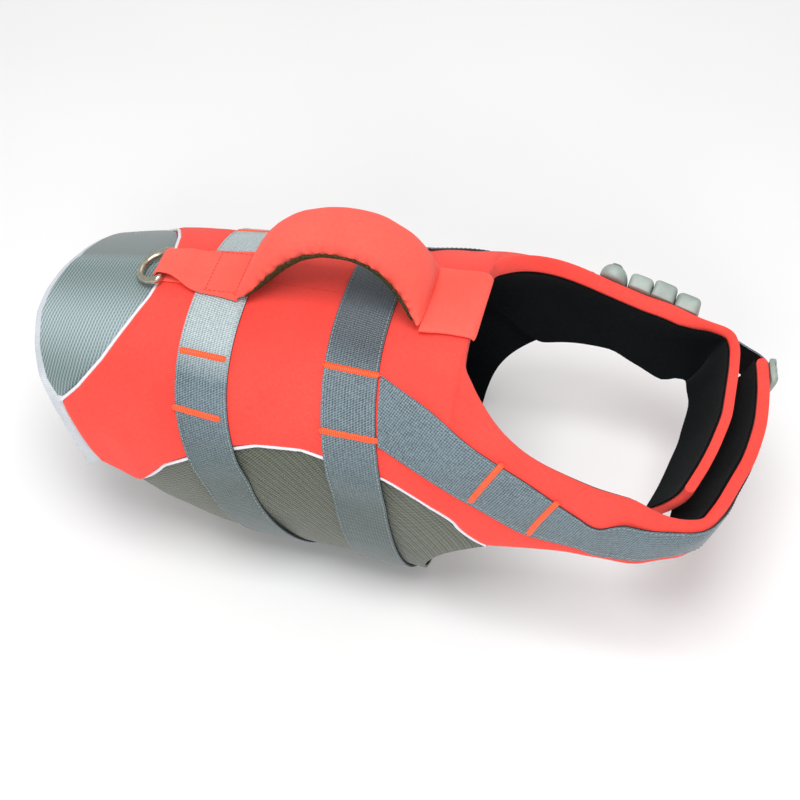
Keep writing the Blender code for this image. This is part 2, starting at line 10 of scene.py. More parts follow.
import bpy
import numpy as np
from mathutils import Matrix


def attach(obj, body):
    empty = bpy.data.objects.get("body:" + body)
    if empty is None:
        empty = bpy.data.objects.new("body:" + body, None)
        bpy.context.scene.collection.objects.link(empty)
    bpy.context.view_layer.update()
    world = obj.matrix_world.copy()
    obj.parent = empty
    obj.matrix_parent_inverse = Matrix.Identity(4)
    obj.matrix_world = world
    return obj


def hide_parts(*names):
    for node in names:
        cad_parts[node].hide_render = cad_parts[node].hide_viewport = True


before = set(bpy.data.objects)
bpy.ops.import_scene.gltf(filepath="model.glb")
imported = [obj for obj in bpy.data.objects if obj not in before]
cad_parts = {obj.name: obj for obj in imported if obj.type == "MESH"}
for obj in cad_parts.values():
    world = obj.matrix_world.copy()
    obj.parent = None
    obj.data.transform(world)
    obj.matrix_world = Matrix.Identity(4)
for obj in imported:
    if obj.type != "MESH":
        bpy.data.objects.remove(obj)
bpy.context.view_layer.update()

# Side panels: the two buoyant sides of the jacket, each cut in one with its shoulder band and its
# chest flap. Coral knit is bonded to both faces of closed-cell foam, so the face is smooth, the
# edges roll over softly and the panel takes a few long, shallow creases where it bends.
SIDES = {-1: "right", 1: "left"}
FOAM = 12.0
FLAP_OUTER = 8.5
FLAP_INNER = 7.0
ROLL = 5.0
BACK_GAP = 0.2
LEFT_BULGE = ((108, 52, 5.0), (-180, 35, 4.0))
# A section's place on the plan, its turn from straight out, how far it curls in to the back line,
# the heights of its top, widest place and bottom, and its superellipse power.
SECTION = ("s", "x", "y", "turn", "curl", "top", "side", "bottom", "power")
TRUNK = (
    (-262, -262, 86, 0, 86, -11, -78, -141, 2.1),
    (-200, -200, 98, 0, 98, 0.5, -81, -164, 2.1),
    (-150, -150, 104, 0, 104, 8, -84, -189, 2.15),
    (-100, -100, 107, 0, 107, 12, -85, -205, 2.25),
    (-50, -50, 107, 0, 107, 13, -84, -203, 2.35),
    (0, 0, 107, 0, 107, 15.5, -83, -203, 2.5),
    (50, 50, 107, 0, 107, 23.5, -82, -203, 2.65),
    (100, 100, 107, 0, 107, 22.5, -82, -202, 2.8),
    (150, 150, 105, 0, 105, 14, -82, -199, 2.8),
)
CHEST_RIGHT = (
    (180, 180, 103.5, 3, 103, 6, -80, -188, 2.6),
    (205, 205, 101, 10, 100, 2, -70, -160, 1.95),
    (229, 228, 93, 31, 95, 0, -58, -150, 1.6),
    (250, 239.5, 77.5, 60, 92, 0, -50, -138, 1.5),
    (278, 248.5, 52, 73, 90, 0, -47, -131, 1.5),
    (309, 256.5, 22, 80, 90, 0, -47, -131, 1.5),
    (343, 260, -12, 90, 90, 0, -47, -131, 1.5),
    (371, 259, -40, 93, 90, 0, -47, -131, 1.5),
    (401, 255, -70, 98, 90, 0, -47, -131, 1.5),
)
CHEST_LEFT = (
    (180, 180, 103.5, 2, 103, 6, -80, -188, 2.6),
    (205, 205, 102, 8, 100, 2, -70, -160, 2.0),
    (223, 222, 97.5, 28, 95, 0, -58, -150, 1.7),
    (236, 231, 88, 62, 92, 0, -50, -138, 1.55),
    (254, 235, 70, 82, 90, 0, -47, -131, 1.5),
    (279, 236, 45, 89, 90, 0, -47, -131, 1.5),
    (309, 236, 15, 92, 90, 0, -47, -131, 1.5),
    (339, 232, -15, 99, 90, 0, -47, -131, 1.5),
    (370, 225, -45, 105, 90, 0, -47, -131, 1.5),
    (394, 217.5, -68, 109, 90, 0, -47, -131, 1.5),
)
SHAPE = {-1: TRUNK + CHEST_RIGHT, 1: TRUNK + CHEST_LEFT}
CUT = ("top_s", "top_phi", "low_s", "low_phi")
SIDE_CUT = (
    (-173, 0, -199, 105.6),
    (-158, 0, -185.5, 106.6),
    (-143, 0, -173, 108.5),
    (-122, 0, -146, 90.2),
    (-98, 0, -112, 77.3),
    (-74, 0, -76, 69.8),
    (-50, 0, -44, 68.5),
    (-24, 0, -16, 72.5),
    (2, 0, 14, 76.8),
    (26, 0, 34, 82.9),
    (44, 0, 47, 86.6),
    (52.5, 0, 57, 88.7),
    (56.5, 20, 69, 91.1),
    (63.6, 27.4, 79, 92.9),
    (71.7, 34.4, 88, 94),
    (90.3, 47.5, 104, 93),
    (110.1, 56.2, 122, 92.2),
    (135, 61.8, 142, 91.8),
)
FRONT_RIGHT_CUT = (
    (160, 65.2, 162, 92.2),
    (180, 65, 180, 93.8),
    (205, 70, 205, 101.5),
    (229, 76, 229, 117),
    (250, 84, 250, 131),
    (278, 88, 278, 137),
    (309, 88, 309, 137),
    (343, 88, 343, 137),
    (371, 88, 371, 137),
    (401, 89, 401, 136),
)
FRONT_LEFT_CUT = (
    (160, 64.5, 162, 94.5),
    (180, 62.2, 180, 100),
    (205, 64, 205, 113),
    (223, 70.5, 223, 125.5),
    (236, 78, 236, 131),
    (254, 85.5, 254, 130.5),
    (279, 88, 279, 128),
    (309, 88, 309, 130),
    (339, 88, 339, 130.5),
    (370, 88, 370, 129.5),
    (394, 89, 394, 128.5),
)
CUTS = {-1: SIDE_CUT + FRONT_RIGHT_CUT, 1: SIDE_CUT + FRONT_LEFT_CUT}
# Round the rear: s of the V seam, the hem and the binding's edge, and how far that edge turns
# round and stands off.
REAR = ("phi", "seam", "hem", "binding", "turn", "droop")
REAR_EDGE = (
    (-109, -199, -199, -212, -8, 4),
    (-88, -214, -214, -221, -6, 1),
    (-71, -227, -227, -233, -3, 0),
    (-60, -210, -229, -234, -0.5, 0),
    (-44, -191.5, -232.5, -237.5, 0, 0),
    (-26, -180, -239.5, -244.5, 0, 0),
    (-13, -175, -244.5, -249.5, 0, 0),
    (0, -173, -250.5, -255.5, 0, 0),
    (13, -176.5, -253.5, -258.7, 0, 0),
    (26, -185, -253.5, -259, 0, 0),
    (44, -198, -247.5, -253.5, 0, 0),
    (60, -213.5, -238, -245.8, 1.2, 0),
    (71, -227, -227, -235.5, 3.5, 0),
    (79, -221, -221, -228, 5.5, 0),
    (88, -214, -214, -222, 7.5, 0.3),
    (98, -206.5, -206.5, -218, 13, 2),
    (106, -199, -199, -214.5, 14, 8),
)
CREASES_RIGHT = (  # s, phi, to_s, to_phi, width, depth
    (-178, 62, -150, 96, 9, 0.9),
    (-196, 78, -176, 103, 7, 0.6),
    (-98, 20, -88, 58, 12, 0.7),
    (-66, 44, -58, 66, 8, 0.5),
    (24, 36, 44, 62, 10, 0.8),
    (58, 30, 86, 50, 6, 0.9),
    (96, 55, 128, 66, 5, 0.7),
    (168, 72, 196, 84, 7, 1.1),
    (196, 88, 214, 108, 6, 0.9),
    (226, 92, 244, 118, 8, 0.8),
)
CREASES_LEFT = (  # s, phi, to_s, to_phi, width, depth
    (-184, 55, -158, 92, 8, 0.9),
    (-94, 26, -80, 60, 11, 0.8),
    (-60, 30, -52, 62, 9, 0.5),
    (30, 30, 52, 66, 9, 0.8),
    (62, 34, 92, 54, 6, 0.8),
    (118, 60, 150, 70, 6, 0.8),
    (184, 76, 204, 96, 7, 1.0),
    (214, 92, 226, 112, 6, 0.8),
    (300, 96, 312, 126, 8, 0.5),
)
CREASES = {-1: CREASES_RIGHT, 1: CREASES_LEFT}


def column(table, names, name):
    """One named column of a table."""
    return np.array([row[names.index(name)] for row in table], dtype=float)


def read(table, names, t):
    """Every column of a table at its fractional rows t, each as a column of a grid."""
    rows = np.arange(float(len(table)))
    return (smooth(rows, column(table, names, name), t)[:, None] for name in names)


def smooth(xs, ys, x):
    """Cubic curve through a table's rows: its slope is 0 at each peak, so it never swings past."""
    x = np.asarray(x, dtype=float)
    width = np.diff(xs)
    rise = np.diff(ys) / width
    slope = np.concatenate([rise[:1], np.zeros(len(xs) - 2), rise[-1:]])
    same = rise[:-1] * rise[1:] > 0
    total = np.where(same, rise[:-1] + rise[1:], 1.0)
    slope[1:-1] = np.where(same, 2 * rise[:-1] * rise[1:] / total, 0.0)
    i = np.clip(np.searchsorted(xs, x, side="right") - 1, 0, len(xs) - 2)
    t = np.clip((x - xs[i]) / width[i], 0.0, 1.0)
    curve = ys[i] * (1 + 2 * t) * (1 - t) ** 2 + ys[i + 1] * t * t * (3 - 2 * t)
    return curve + width[i] * (slope[i] * t * (1 - t) ** 2 - slope[i + 1] * t * t * (1 - t))


def bent(share, power):
    """A share raised to a power with its sign kept."""
    return np.sign(share) * np.abs(share) ** power


def bell(away, reach):
    """Bell curve: 1 at distance 0, falling to 1/e at the reach."""
    return np.exp(-(away / reach) ** 2)


def outer(side, s, phi):
    """Outer face of a side: a superellipse section whose centre line follows the plan."""
    s, phi = np.broadcast_arrays(np.asarray(s, dtype=float), np.asarray(phi, dtype=float))
    stations = column(SHAPE[side], SECTION, "s")
    x, y, turn, curl, top, widest, bottom, power = (
        smooth(stations, column(SHAPE[side], SECTION, name), s) for name in SECTION[1:])
    angle = np.radians(phi)
    across, up = bent(np.sin(angle), 2 / power), bent(np.cos(angle), 2 / power)
    z = widest + np.where(up > 0, top - widest, widest - bottom) * up
    inward = curl * (across - 1)
    px = x + np.sin(np.radians(turn)) * inward
    py = y + np.cos(np.radians(turn)) * inward
    fuller = sum(high * bell(s - place, reach) for place, reach, high in LEFT_BULGE)
    return np.stack([px, side * py + fuller * np.clip(side * across, 0, 1), z], axis=-1)


def normal(side, s, phi):
    """Outward unit vectors of the outer face, from the differences along s and phi."""
    along = outer(side, s + 0.8, phi) - outer(side, s - 0.8, phi)
    around = outer(side, s, phi + 1.0) - outer(side, s, phi - 1.0)
    n = np.cross(along, around) * side
    return n / np.linalg.norm(n, axis=-1, keepdims=True)


def at(side, s, phi, depth):
    """Outer face moved in by depth along its normals; a negative depth stands proud."""
    s, phi = np.broadcast_arrays(np.asarray(s, dtype=float), np.asarray(phi, dtype=float))
    depth = np.broadcast_to(depth, s.shape)
    return outer(side, s, phi) - normal(side, s, phi) * depth[..., None]


def unit(v):
    """Vectors divided by their own length."""
    return v / np.maximum(np.linalg.norm(v, axis=-1, keepdims=True), 1e-9)


def along_across(face):
    """Distances in metres over a grid: along its rows from the first one, and across each row."""
    down = np.linalg.norm(np.diff(face, axis=0), axis=-1).mean(axis=1)
    over = np.linalg.norm(np.diff(face, axis=1), axis=-1)
    u = np.concatenate([[0.0], np.cumsum(down)])[:, None] + 0 * face[..., 0]
    v = np.concatenate([np.zeros((len(face), 1)), np.cumsum(over, axis=1)], axis=1)
    v = v - v.mean(axis=1, keepdims=True)
    return np.stack([u, v], axis=-1) * 0.001


def shell(face, back):
    """Closed wall between two grids: both as quads, the second reversed, and a rim between them."""
    rows, cols = face.shape[:2]
    size = rows * cols
    index = np.arange(size).reshape(rows, cols)
    corners = [index[:-1, :-1], index[1:, :-1], index[1:, 1:], index[:-1, 1:]]
    quads = np.stack(corners, axis=-1).reshape(-1, 4)
    ring = np.concatenate([index[:, 0], index[-1, 1:], index[-2::-1, -1], index[0, -2:0:-1]])
    after = np.roll(ring, -1)
    rim = np.stack([after, ring, ring + size, after + size], axis=-1)
    points = np.concatenate([face.reshape(-1, 3), back.reshape(-1, 3)])
    uv = along_across(face).reshape(-1, 2)
    faces = np.concatenate([quads, quads[:, ::-1] + size, rim])
    return points, faces, np.concatenate([uv, uv])


def layer(side, s, phi, high, low):
    """Outer grid of a cloth, and its closed wall between that depth and a lower one."""
    face = at(side, s, phi, high)
    return face, [shell(face, at(side, s, phi, low))]


def tube(rings):
    """Closed tube from a grid of rings: quads round and along it, each end drawn to its middle."""
    middle = rings.mean(axis=1, keepdims=True)
    first = middle[:1] + 0 * rings[:1]
    last = middle[-1:] + 0 * rings[:1]
    grid = np.concatenate([first, rings, last])
    rows, cols = grid.shape[:2]
    index = np.arange(rows * cols).reshape(rows, cols)
    right = np.roll(index, -1, axis=1)
    index[0] = index[0, 0]
    index[-1] = index[-1, 0]
    right[0] = index[0, 0]
    right[-1] = index[-1, 0]
    quads = np.stack([index[:-1], index[1:], right[1:], right[:-1]], axis=-1).reshape(-1, 4)
    return grid.reshape(-1, 3), quads, along_across(grid).reshape(-1, 2)


SHARP_FROM = math.radians(50)


def placed(name, data):
    """New object in the scene, at the origin."""
    made = bpy.data.objects.new(name, data)
    bpy.context.collection.objects.link(made)
    return made


def piece(name, parts, cloth, node=None, body="jacket"):
    """One object of several closed shapes, in metres, each turned to face outwards: where the sum
    of its corners' triple products is negative, its faces are reversed. It takes the given finish,
    and hides the CAD node if one is named."""
    points, faces, uvs, start = [], [], [], 0
    for p, f, uv in parts:
        a, b, c = p[f[:, 0]], p[f[:, 1]], p[f[:, 2]]
        d = p[f[:, 3]]
        volume = (np.cross(a, b) * c).sum() + (np.cross(a, c) * d).sum()
        points.append(p)
        faces.append((f if volume > 0 else f[:, ::-1]) + start)
        uvs.append(uv)
        start += len(p)
    points = np.concatenate(points) * 0.001
    faces = np.concatenate(faces)
    uvs = np.concatenate(uvs)
    flat = [[k for j, k in enumerate(f) if k != f[j - 1]] for f in faces.tolist()]
    mesh = bpy.data.meshes.new(name)
    mesh.from_pydata(points.tolist(), [], [f for f in flat if len(f) > 2])
    layer = mesh.uv_layers.new(name="cloth")
    corner = np.empty(len(mesh.loops), dtype=np.int32)
    mesh.loops.foreach_get("vertex_index", corner)
    layer.data.foreach_set("uv", uvs[corner].astype(np.float32).ravel())
    mesh.shade_smooth()
    mesh.set_sharp_from_angle(angle=SHARP_FROM)
    mesh.materials.append(cloth)
    made = placed(name, mesh)
    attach(made, body)
    if node:
        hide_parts(node)
    return made


def hue(code):
    """Linear colour of an sRGB hex code."""
    parts = [int(code[i:i + 2], 16) / 255 for i in (0, 2, 4)]
    return (*[c / 12.92 if c <= 0.04045 else ((c + 0.055) / 1.055) ** 2.4 for c in parts], 1.0)


def add(tree, kind, inputs=None, **settings):
    """Adds one shader node with its settings and links and gives its outputs; each input is a value
    or another node's output."""
    node = tree.nodes.new("ShaderNode" + kind)
    for key, value in settings.items():
        setattr(node, key, value)
    for key, value in (inputs or {}).items():
        if isinstance(value, bpy.types.NodeSocket):
            tree.links.new(value, node.inputs[key])
        else:
            node.inputs[key].default_value = value
    return node.outputs


def finish(name, roughness, **sockets):
    """New material whose shader's own sockets hold the values that are the same all over."""
    made = bpy.data.materials.new(name)
    made.use_nodes = True
    inputs = made.node_tree.nodes["Principled BSDF"].inputs
    inputs["Roughness"].default_value = roughness
    for key, value in sockets.items():
        inputs[key.replace("_", " ").title().replace("Ior", "IOR")].default_value = value
    return made, made.node_tree


def cloth_axes(tree):
    """Distances in metres along and across the cloth, from the piece's own map."""
    uv = add(tree, "UVMap", uv_map="cloth")
    return add(tree, "SeparateXYZ", {0: uv[0]})[:2]


def body_axes(tree):
    """X, Y and Z on the piece itself, in metres."""
    return add(tree, "SeparateXYZ", {0: add(tree, "TexCoord")["Object"]})


def threads(tree, distance, pitch):
    """Sine of a distance in metres, one turn to each pitch in millimetres."""
    turns = {0: distance, 1: 2 * math.pi / (pitch * 0.001)}
    turned = add(tree, "Math", turns, operation="MULTIPLY")[0]
    return add(tree, "Math", {0: turned}, operation="SINE")[0]


def blotch(tree, scale, low, high, detail=2.0):
    """Soft noise on the object's own coordinates: its scale in turns per metre, its middle part
    spread from low to high."""
    place = add(tree, "TexCoord")["Object"]
    noise = add(tree, "TexNoise", {"Vector": place, "Scale": scale, "Detail": detail})
    spread = {0: noise["Fac"], 1: 0.3, 2: 0.7, 3: low, 4: high}
    return add(tree, "MapRange", spread)[0]


def layered(tree, base, *layers):
    """Colour of several layers: each layer's colour is laid over those below it by its share."""
    for share, colour in layers:
        below, over = (hue(c) if isinstance(c, str) else c for c in (base, colour))
        base = add(tree, "Mix", {0: share, 6: below, 7: over}, data_type="RGBA")[2]
    return base


def dress(made, colour, height=None, depth=0.0, strength=0.0):
    """Gives a material its colour, and a relief whose depth in metres is that of a height of 1."""
    tree = made.node_tree
    inputs = tree.nodes["Principled BSDF"].inputs
    tree.links.new(colour, inputs["Base Color"])
    if height:
        bump = add(tree, "Bump", {"Height": height, "Distance": depth, "Strength": strength})
        tree.links.new(bump[0], inputs["Normal"])
    return made


def coral_knit(name, deep, pale, loops):
    """Polyester jersey bonded to neoprene: matte and even, with fine loops and a faint nap.

    The loops are really 0.6 mm; they are drawn at 1.5 mm so that they show.
    """
    made, tree = finish(name, 0.78, sheen_weight=0.25, sheen_roughness=0.6,
                        sheen_tint=hue("FFB0A4"), specular_ior_level=0.18)
    wale, course = (threads(tree, axis, 1.5) for axis in cloth_axes(tree))
    loop = add(tree, "Math", {0: wale, 1: course}, operation="MULTIPLY")[0]
    nap = {0: loop, 1: blotch(tree, 60, -1.5, 1.5)}
    cloud, grain = blotch(tree, 14, 0.0, 1.0), blotch(tree, 420, 0.0, 0.35)
    colour = layered(tree, deep, (cloud, pale), (grain, loops))
    return dress(made, colour, add(tree, "Math", nap, operation="ADD")[0], 0.00012, 0.5)


ROUND = 1.12
FAR = 1e3


def panel_grid(side, t, rolls, inner):
    """s, phi and edge distance of a side panel. Row t of the cut runs from its top to its low edge,
    longer than its chord as it is round. Points lie at the given distances from both edges, then
    evenly between, and s leans late in the row; the first rows follow the V seam."""
    top_s, top_phi, low_s, low_phi = read(CUTS[side], CUT, t)
    chord = outer(side, low_s, low_phi) - outer(side, top_s, top_phi)
    length = np.linalg.norm(chord, axis=-1) * ROUND
    edge = np.asarray(rolls)[None, :] / length
    even = np.linspace(0, 1, inner + 2)[None, 1:-1]
    between = edge[:, -1:] + even * (1 - 2 * edge[:, -1:])
    v = np.concatenate([edge, between, 1 - edge[:, ::-1]], axis=1)
    lean = v ** 1.8
    s = top_s * (1 - lean) + low_s * lean
    phi = top_phi * (1 - v) + low_phi * v
    reach = np.clip(1 - t / 4, 0, 1)[:, None] ** 2
    first_top, _, first_low, _ = SIDE_CUT[0]
    s = s + (rear_s(-side * phi, "seam") - first_top * (1 - lean) - first_low * lean) * reach
    left = len(CUTS[side]) - 1 - t
    from_top = v * length + np.where(top_phi < 10, FAR, 0.0)
    from_rear = np.where(t < 1.5, t * 15.0, FAR)
    from_front = np.where(left < 1.5, left * 30.0, FAR)
    from_end = np.minimum(from_rear, from_front)
    return s, phi, np.minimum(np.minimum((1 - v) * length, from_top), from_end[:, None])


def rear_s(phi, name):
    """s of a rear edge at an angle."""
    return np.interp(phi, column(REAR_EDGE, REAR, "phi"), column(REAR_EDGE, REAR, name))


def thickness(side, s):
    """Wall of a side panel, thinner on the chest flaps."""
    bend, flap = ((200, 240), FLAP_OUTER) if side < 0 else ((190, 212), FLAP_INNER)
    return np.interp(s, bend, (FOAM, flap))


def creased(table, s, phi):
    """Depth of the creases: along each row's line a trough of bell section, faded at both ends."""
    depth = 0 * s * phi
    for s0, p0, s1, p1, width, deep in table:
        ds, dp = s - s0, (phi - p0) * 1.8
        run_s, run_p = s1 - s0, (p1 - p0) * 1.8
        share = np.clip((ds * run_s + dp * run_p) / (run_s ** 2 + run_p ** 2), -0.2, 1.2)
        away = np.hypot(ds - share * run_s, dp - share * run_p)
        fade = np.clip(1 - (2 * share - 1) ** 2 / 1.7, 0, 1)
        depth = depth + deep * fade * (bell(away, width) - 0.35 * bell(away - 2 * width, width))
    return depth


def girth_s(phi, start, sweep, power):
    """Middle line of a girth webbing, which slants forward as it goes down."""
    return start + sweep * (1 - np.cos(np.radians(phi))) ** power


WEB_WIDTH = 38.0
GIRTHS = {  # start, sweep, power
    "girth_rear_webbing": (-122.5, 23.0, 1.7),
    "girth_front_webbing": (-20.5, 19.0, 1.0),
}


def pressed(s, phi):
    """Depth to which the girth webbings pull the foam in: even under the tape, easing out by it."""
    depth = 0 * s * phi
    for route in GIRTHS.values():
        away = np.abs(s - girth_s(phi, *route)) - WEB_WIDTH / 2
        depth = depth + 0.55 * bell(np.maximum(away, 0), 5) - 0.3 * bell(away - 12, 7)
    return depth


coral = coral_knit("coral_jersey_on_foam", "FF493F", "FF544A", "F83C32")
ROLL_LINES = (0, 0.3, 0.8, 1.6, 2.7, 4, 5.6, 8)
rear_rows = np.array([0, 0.02, 0.05, 0.1, 0.17, 0.25, 0.34, 0.5, 0.75])
for side, hand in SIDES.items():
    name, last = f"side_panel_{hand}", len(CUTS[side]) - 1
    t = np.concatenate([rear_rows, np.arange(1, last - 0.9, 0.2), last - rear_rows[::-1] / 2])
    s, phi, edge = panel_grid(side, np.unique(t), ROLL_LINES, 26)
    full = thickness(side, s) / 2
    part = np.clip(edge / ROLL, 0, 1)
    half = full * np.maximum(np.sqrt(1 - (1 - part) ** 2), 0.1)
    soft = (creased(CREASES[side], s, phi) + pressed(s, phi)) * np.clip(edge / 12, 0, 1)
    face = at(side, s, phi, full - half + soft)
    back = at(side, s, phi, full + half - 0.2 * soft)
    middle = np.abs(phi) < 1e-6
    for grid in (face, back):
        grid[..., 1] = np.where(middle, side * BACK_GAP, grid[..., 1])
    made = piece(name + "_cloth", [shell(face, back)], coral, name)

# Linings: black warp-knit glued to the inner face of each side panel. It runs to the low edge,
# stops just short of the rolled top edge, and puckers a little wherever the foam bends.
LINING = 1.2
LINING_GAP = 0.7
LOW_REACH = 2.7


def black_mesh():
    """Black polyester warp-knit: matt, with open holes really 1 mm apart, drawn 1.8 mm apart."""
    made, tree = finish("black_warp_knit", 0.95, sheen_weight=0.03, sheen_roughness=0.5,
                        specular_ior_level=0.06)
    wale, course = (threads(tree, axis, 1.8) for axis in cloth_axes(tree))
    hole = add(tree, "Math", {0: wale, 1: course}, operation="MULTIPLY")[0]
    cloud, grain = blotch(tree, 22, 0.0, 1.0), blotch(tree, 700, 0.0, 0.5)
    colour = layered(tree, "020304", (cloud, "0A0E10"), (grain, "11171A"))
    return dress(made, colour, hole, 0.0002, 0.6)


def second(made, face, part, cloth):
    """Gives part 1 of a shell, its inner grid, or part 2, its rim, a second finish."""
    made.data.materials.append(cloth)
    each = (face.shape[0] - 1) * (face.shape[1] - 1)
    chosen = np.minimum(np.arange(len(made.data.polygons)) // each, 2) == part
    made.data.polygons.foreach_set("material_index", chosen.astype(np.int32))


black = black_mesh()
for side, hand in SIDES.items():
    name, last = f"lining_{hand}", len(CUTS[side]) - 1
    inner_rows = np.arange(1, last - 0.9, 0.25)
    t = np.concatenate([[0.34, 0.5, 0.75], inner_rows, [last - 0.5, last - 0.08]])
    s, phi, edge = panel_grid(side, np.unique(t), (4.6, 6, 8), 22)
    s[:, -1] += LOW_REACH * (s[:, -1] - s[:, -2])
    phi[:, -1] += LOW_REACH * (phi[:, -1] - phi[:, -2])
    ripple = 0.35 * np.sin(s / 7.0 + 3 * np.sin(phi / 9.0)) * np.clip((edge - 5) / 12, 0, 1)
    depth = thickness(side, s) + LINING_GAP + 0.25 * ripple
    face, wall = layer(side, s, phi, depth, depth + LINING)
    made = piece(name + "_cloth", wall, black, name)

# Rump panel: one layer of ribbed spacer mesh over the rump, sewn into the V seam. The ribs run
# round the jacket and break up into small cells; a soft crease runs back from the ring.
RECESS = 3.4
MESH_WALL = 2.5


def rump_mesh():
    """Grey polyester spacer mesh: satin ribs 2.3 mm apart, crossed by weaker cell walls.

    Painted light and shade make it paler and darker in bands 90 mm apart round the rump, and the
    ribs are pressed flat left of the ring.
    """
    made, tree = finish("grey_spacer_mesh", 0.55, sheen_weight=0.3, sheen_roughness=0.4,
                        specular_ior_level=0.4)
    along, across = cloth_axes(tree)
    wander = {0: across, 1: blotch(tree, 35, -0.0006, 0.0006)}
    wavy = add(tree, "Math", wander, operation="ADD")[0]
    lean = add(tree, "Math", {0: along, 1: wavy}, operation="ADD")[0]
    cells = {0: threads(tree, lean, 2.9), 1: 0.4, 2: threads(tree, wavy, 2.3)}
    ribs = add(tree, "Math", cells, operation="MULTIPLY_ADD")[0]
    ribbed = {0: body_axes(tree)[1], 1: 0.012, 2: 0.020, 3: 1.0, 4: 0.2}
    share = add(tree, "MapRange", ribbed)[0]
    height = add(tree, "Math", {0: ribs, 1: share}, operation="MULTIPLY")[0]
    light = add(tree, "MapRange", {0: height, 1: -1.3, 2: 1.3})[0]
    # painted light and shade: paler and darker bands 90 mm apart round the rump
    band = add(tree, "MapRange", {0: threads(tree, along, 90.0), 1: 1.0, 2: -1.0})[0]
    crest = layered(tree, "93A6A6", (band, "BACBCD"))
    cloth = layered(tree, "566969", (band, "7C9094"), (light, crest))
    return dress(made, layered(tree, "767C7B", (share, cloth)), height, 0.00035, 0.8)


phi = np.linspace(-68.5, 68.5, 121)
v = np.linspace(0, 1, 40)
seam = rear_s(phi, "seam") - 1.6
hem = rear_s(phi, "hem")
s = seam[:, None] * (1 - v) + hem[:, None] * v
ring = phi[:, None] + 0 * v
from_tip = 68 - np.abs(ring)
sag = 0.5 * np.sin(np.pi * v)[None, :] * np.sin(ring / 13.0 + 1.0) * np.clip(from_tip / 20, 0, 1)
crease = 0.7 * bell(ring + 7 + 3 * v, 2.0)
rise = np.sin(np.pi * np.clip(v * 3, 0, 0.5))[None, :] * np.clip(from_tip / 8, 0, 1)
flush = RECESS - 1.3 * rise
face, wall = layer(1, s, -ring, flush + sag + crease, RECESS + MESH_WALL + sag)
made = piece("rump_panel_cloth", wall, rump_mesh(), "rump_panel")

# Belly panel: a darker, thinner mesh hung between the two side seams. It is slack between the
# webbings, so it waves a little.
BELLY_WALL = 1.9
BELLY_MIDDLE = (-151, -124, -96, -68, -44, -22, 0, 12, 20, 26, 32, 36, 40)


def belly_mesh():
    """Olive-grey knitted mesh with a slight shine: a diamond lattice, really 1.2 mm, drawn at 2.2,
    under wider slanting stripes 7.4 mm apart."""
    made, tree = finish("olive_knitted_mesh", 0.5, sheen_weight=0.35, sheen_roughness=0.35,
                        specular_ior_level=0.45)
    axes = dict(enumerate(cloth_axes(tree)))
    signs = ("ADD", "SUBTRACT")
    rise, fall = (add(tree, "Math", axes, operation=sign)[0] for sign in signs)
    fine = {0: threads(tree, rise, 2.2), 1: threads(tree, fall, 3.1)}
    lattice = add(tree, "Math", fine, operation="ADD")[0]
    stripes = {0: threads(tree, fall, 7.4), 1: 0.5, 2: lattice}
    lattice = add(tree, "Math", stripes, operation="MULTIPLY_ADD")[0]
    light = add(tree, "MapRange", {0: lattice, 1: -1.6, 2: 1.6})[0]
    colour = layered(tree, "2E322A", (blotch(tree, 26, 0.0, 1.0), "474B3D"), (light, "6E7464"))
    return dress(made, colour, lattice, 0.0003, 0.7)


BELLY_SEAM = SIDE_CUT[2:15]
k = np.arange(float(len(BELLY_SEAM)))
t = np.linspace(0, k[-1], 90)
v = np.linspace(-1, 1, 121)
pull = 1 - np.abs(v) ** 9
_, _, seam_s, seam_phi = read(BELLY_SEAM, CUT, t)
fuller = 11 * np.clip(v, 0, 1) * (t[:, None] / t[-1]) ** 4
middle = smooth(k, np.array(BELLY_MIDDLE, dtype=float), t)[:, None]
s = seam_s * (1 - pull) + (middle + fuller) * pull
ring = 180 + (180 - seam_phi - 0.35) * v
slack = np.clip((1 - np.abs(v)) * 6, 0, 1) * np.clip(np.minimum(t, k[-1] - t) / 1.5, 0, 1)[:, None]
wave = 0.7 + 0.8 * np.sin(s / 13.0 + 1.7 * np.sin(ring / 17.0))
wave = wave + 0.4 * np.sin(ring / 7.0 + s / 31.0)
face, wall = layer(-1, s, ring, RECESS + wave * slack, RECESS + BELLY_WALL + wave * slack)
made = piece("belly_panel_cloth", wall, belly_mesh(), "belly_panel")
second(made, face, 1, black)

# Hem binding and pipings: white satin tape folded over the rear hem, and cord covered with the same
# tape sewn into the V seam and both belly seams.
PIPING = 1.25
PIPING_DEPTH = 2.0
BINDING_WALL = 2.6


def white_tape(name, low, high, furrow):
    """Bleached polyester tape: bright, satin, with a fine cross rib drawn at 1.6 mm."""
    made, tree = finish(name, 0.42, sheen_weight=0.2, sheen_roughness=0.4,
                        specular_ior_level=0.45)
    rib = threads(tree, cloth_axes(tree)[0], 1.6)
    share = add(tree, "MapRange", {0: rib, 1: -1.0, 4: 0.35})[0]
    colour = layered(tree, low, (blotch(tree, 40, 0.0, 1.0), high), (share, furrow))
    return dress(made, colour, rib, 0.00015, 0.5)


def steps_round(count):
    """Angles of even steps round a circle."""
    return np.arange(count) * 2 * math.pi / count


def rolled(share, power):
    """Drop of a rolled edge: 0 in the middle, 1 at a share of 1, along a superellipse."""
    return 1 - np.sqrt(np.clip(1 - share ** power, 0, 1))


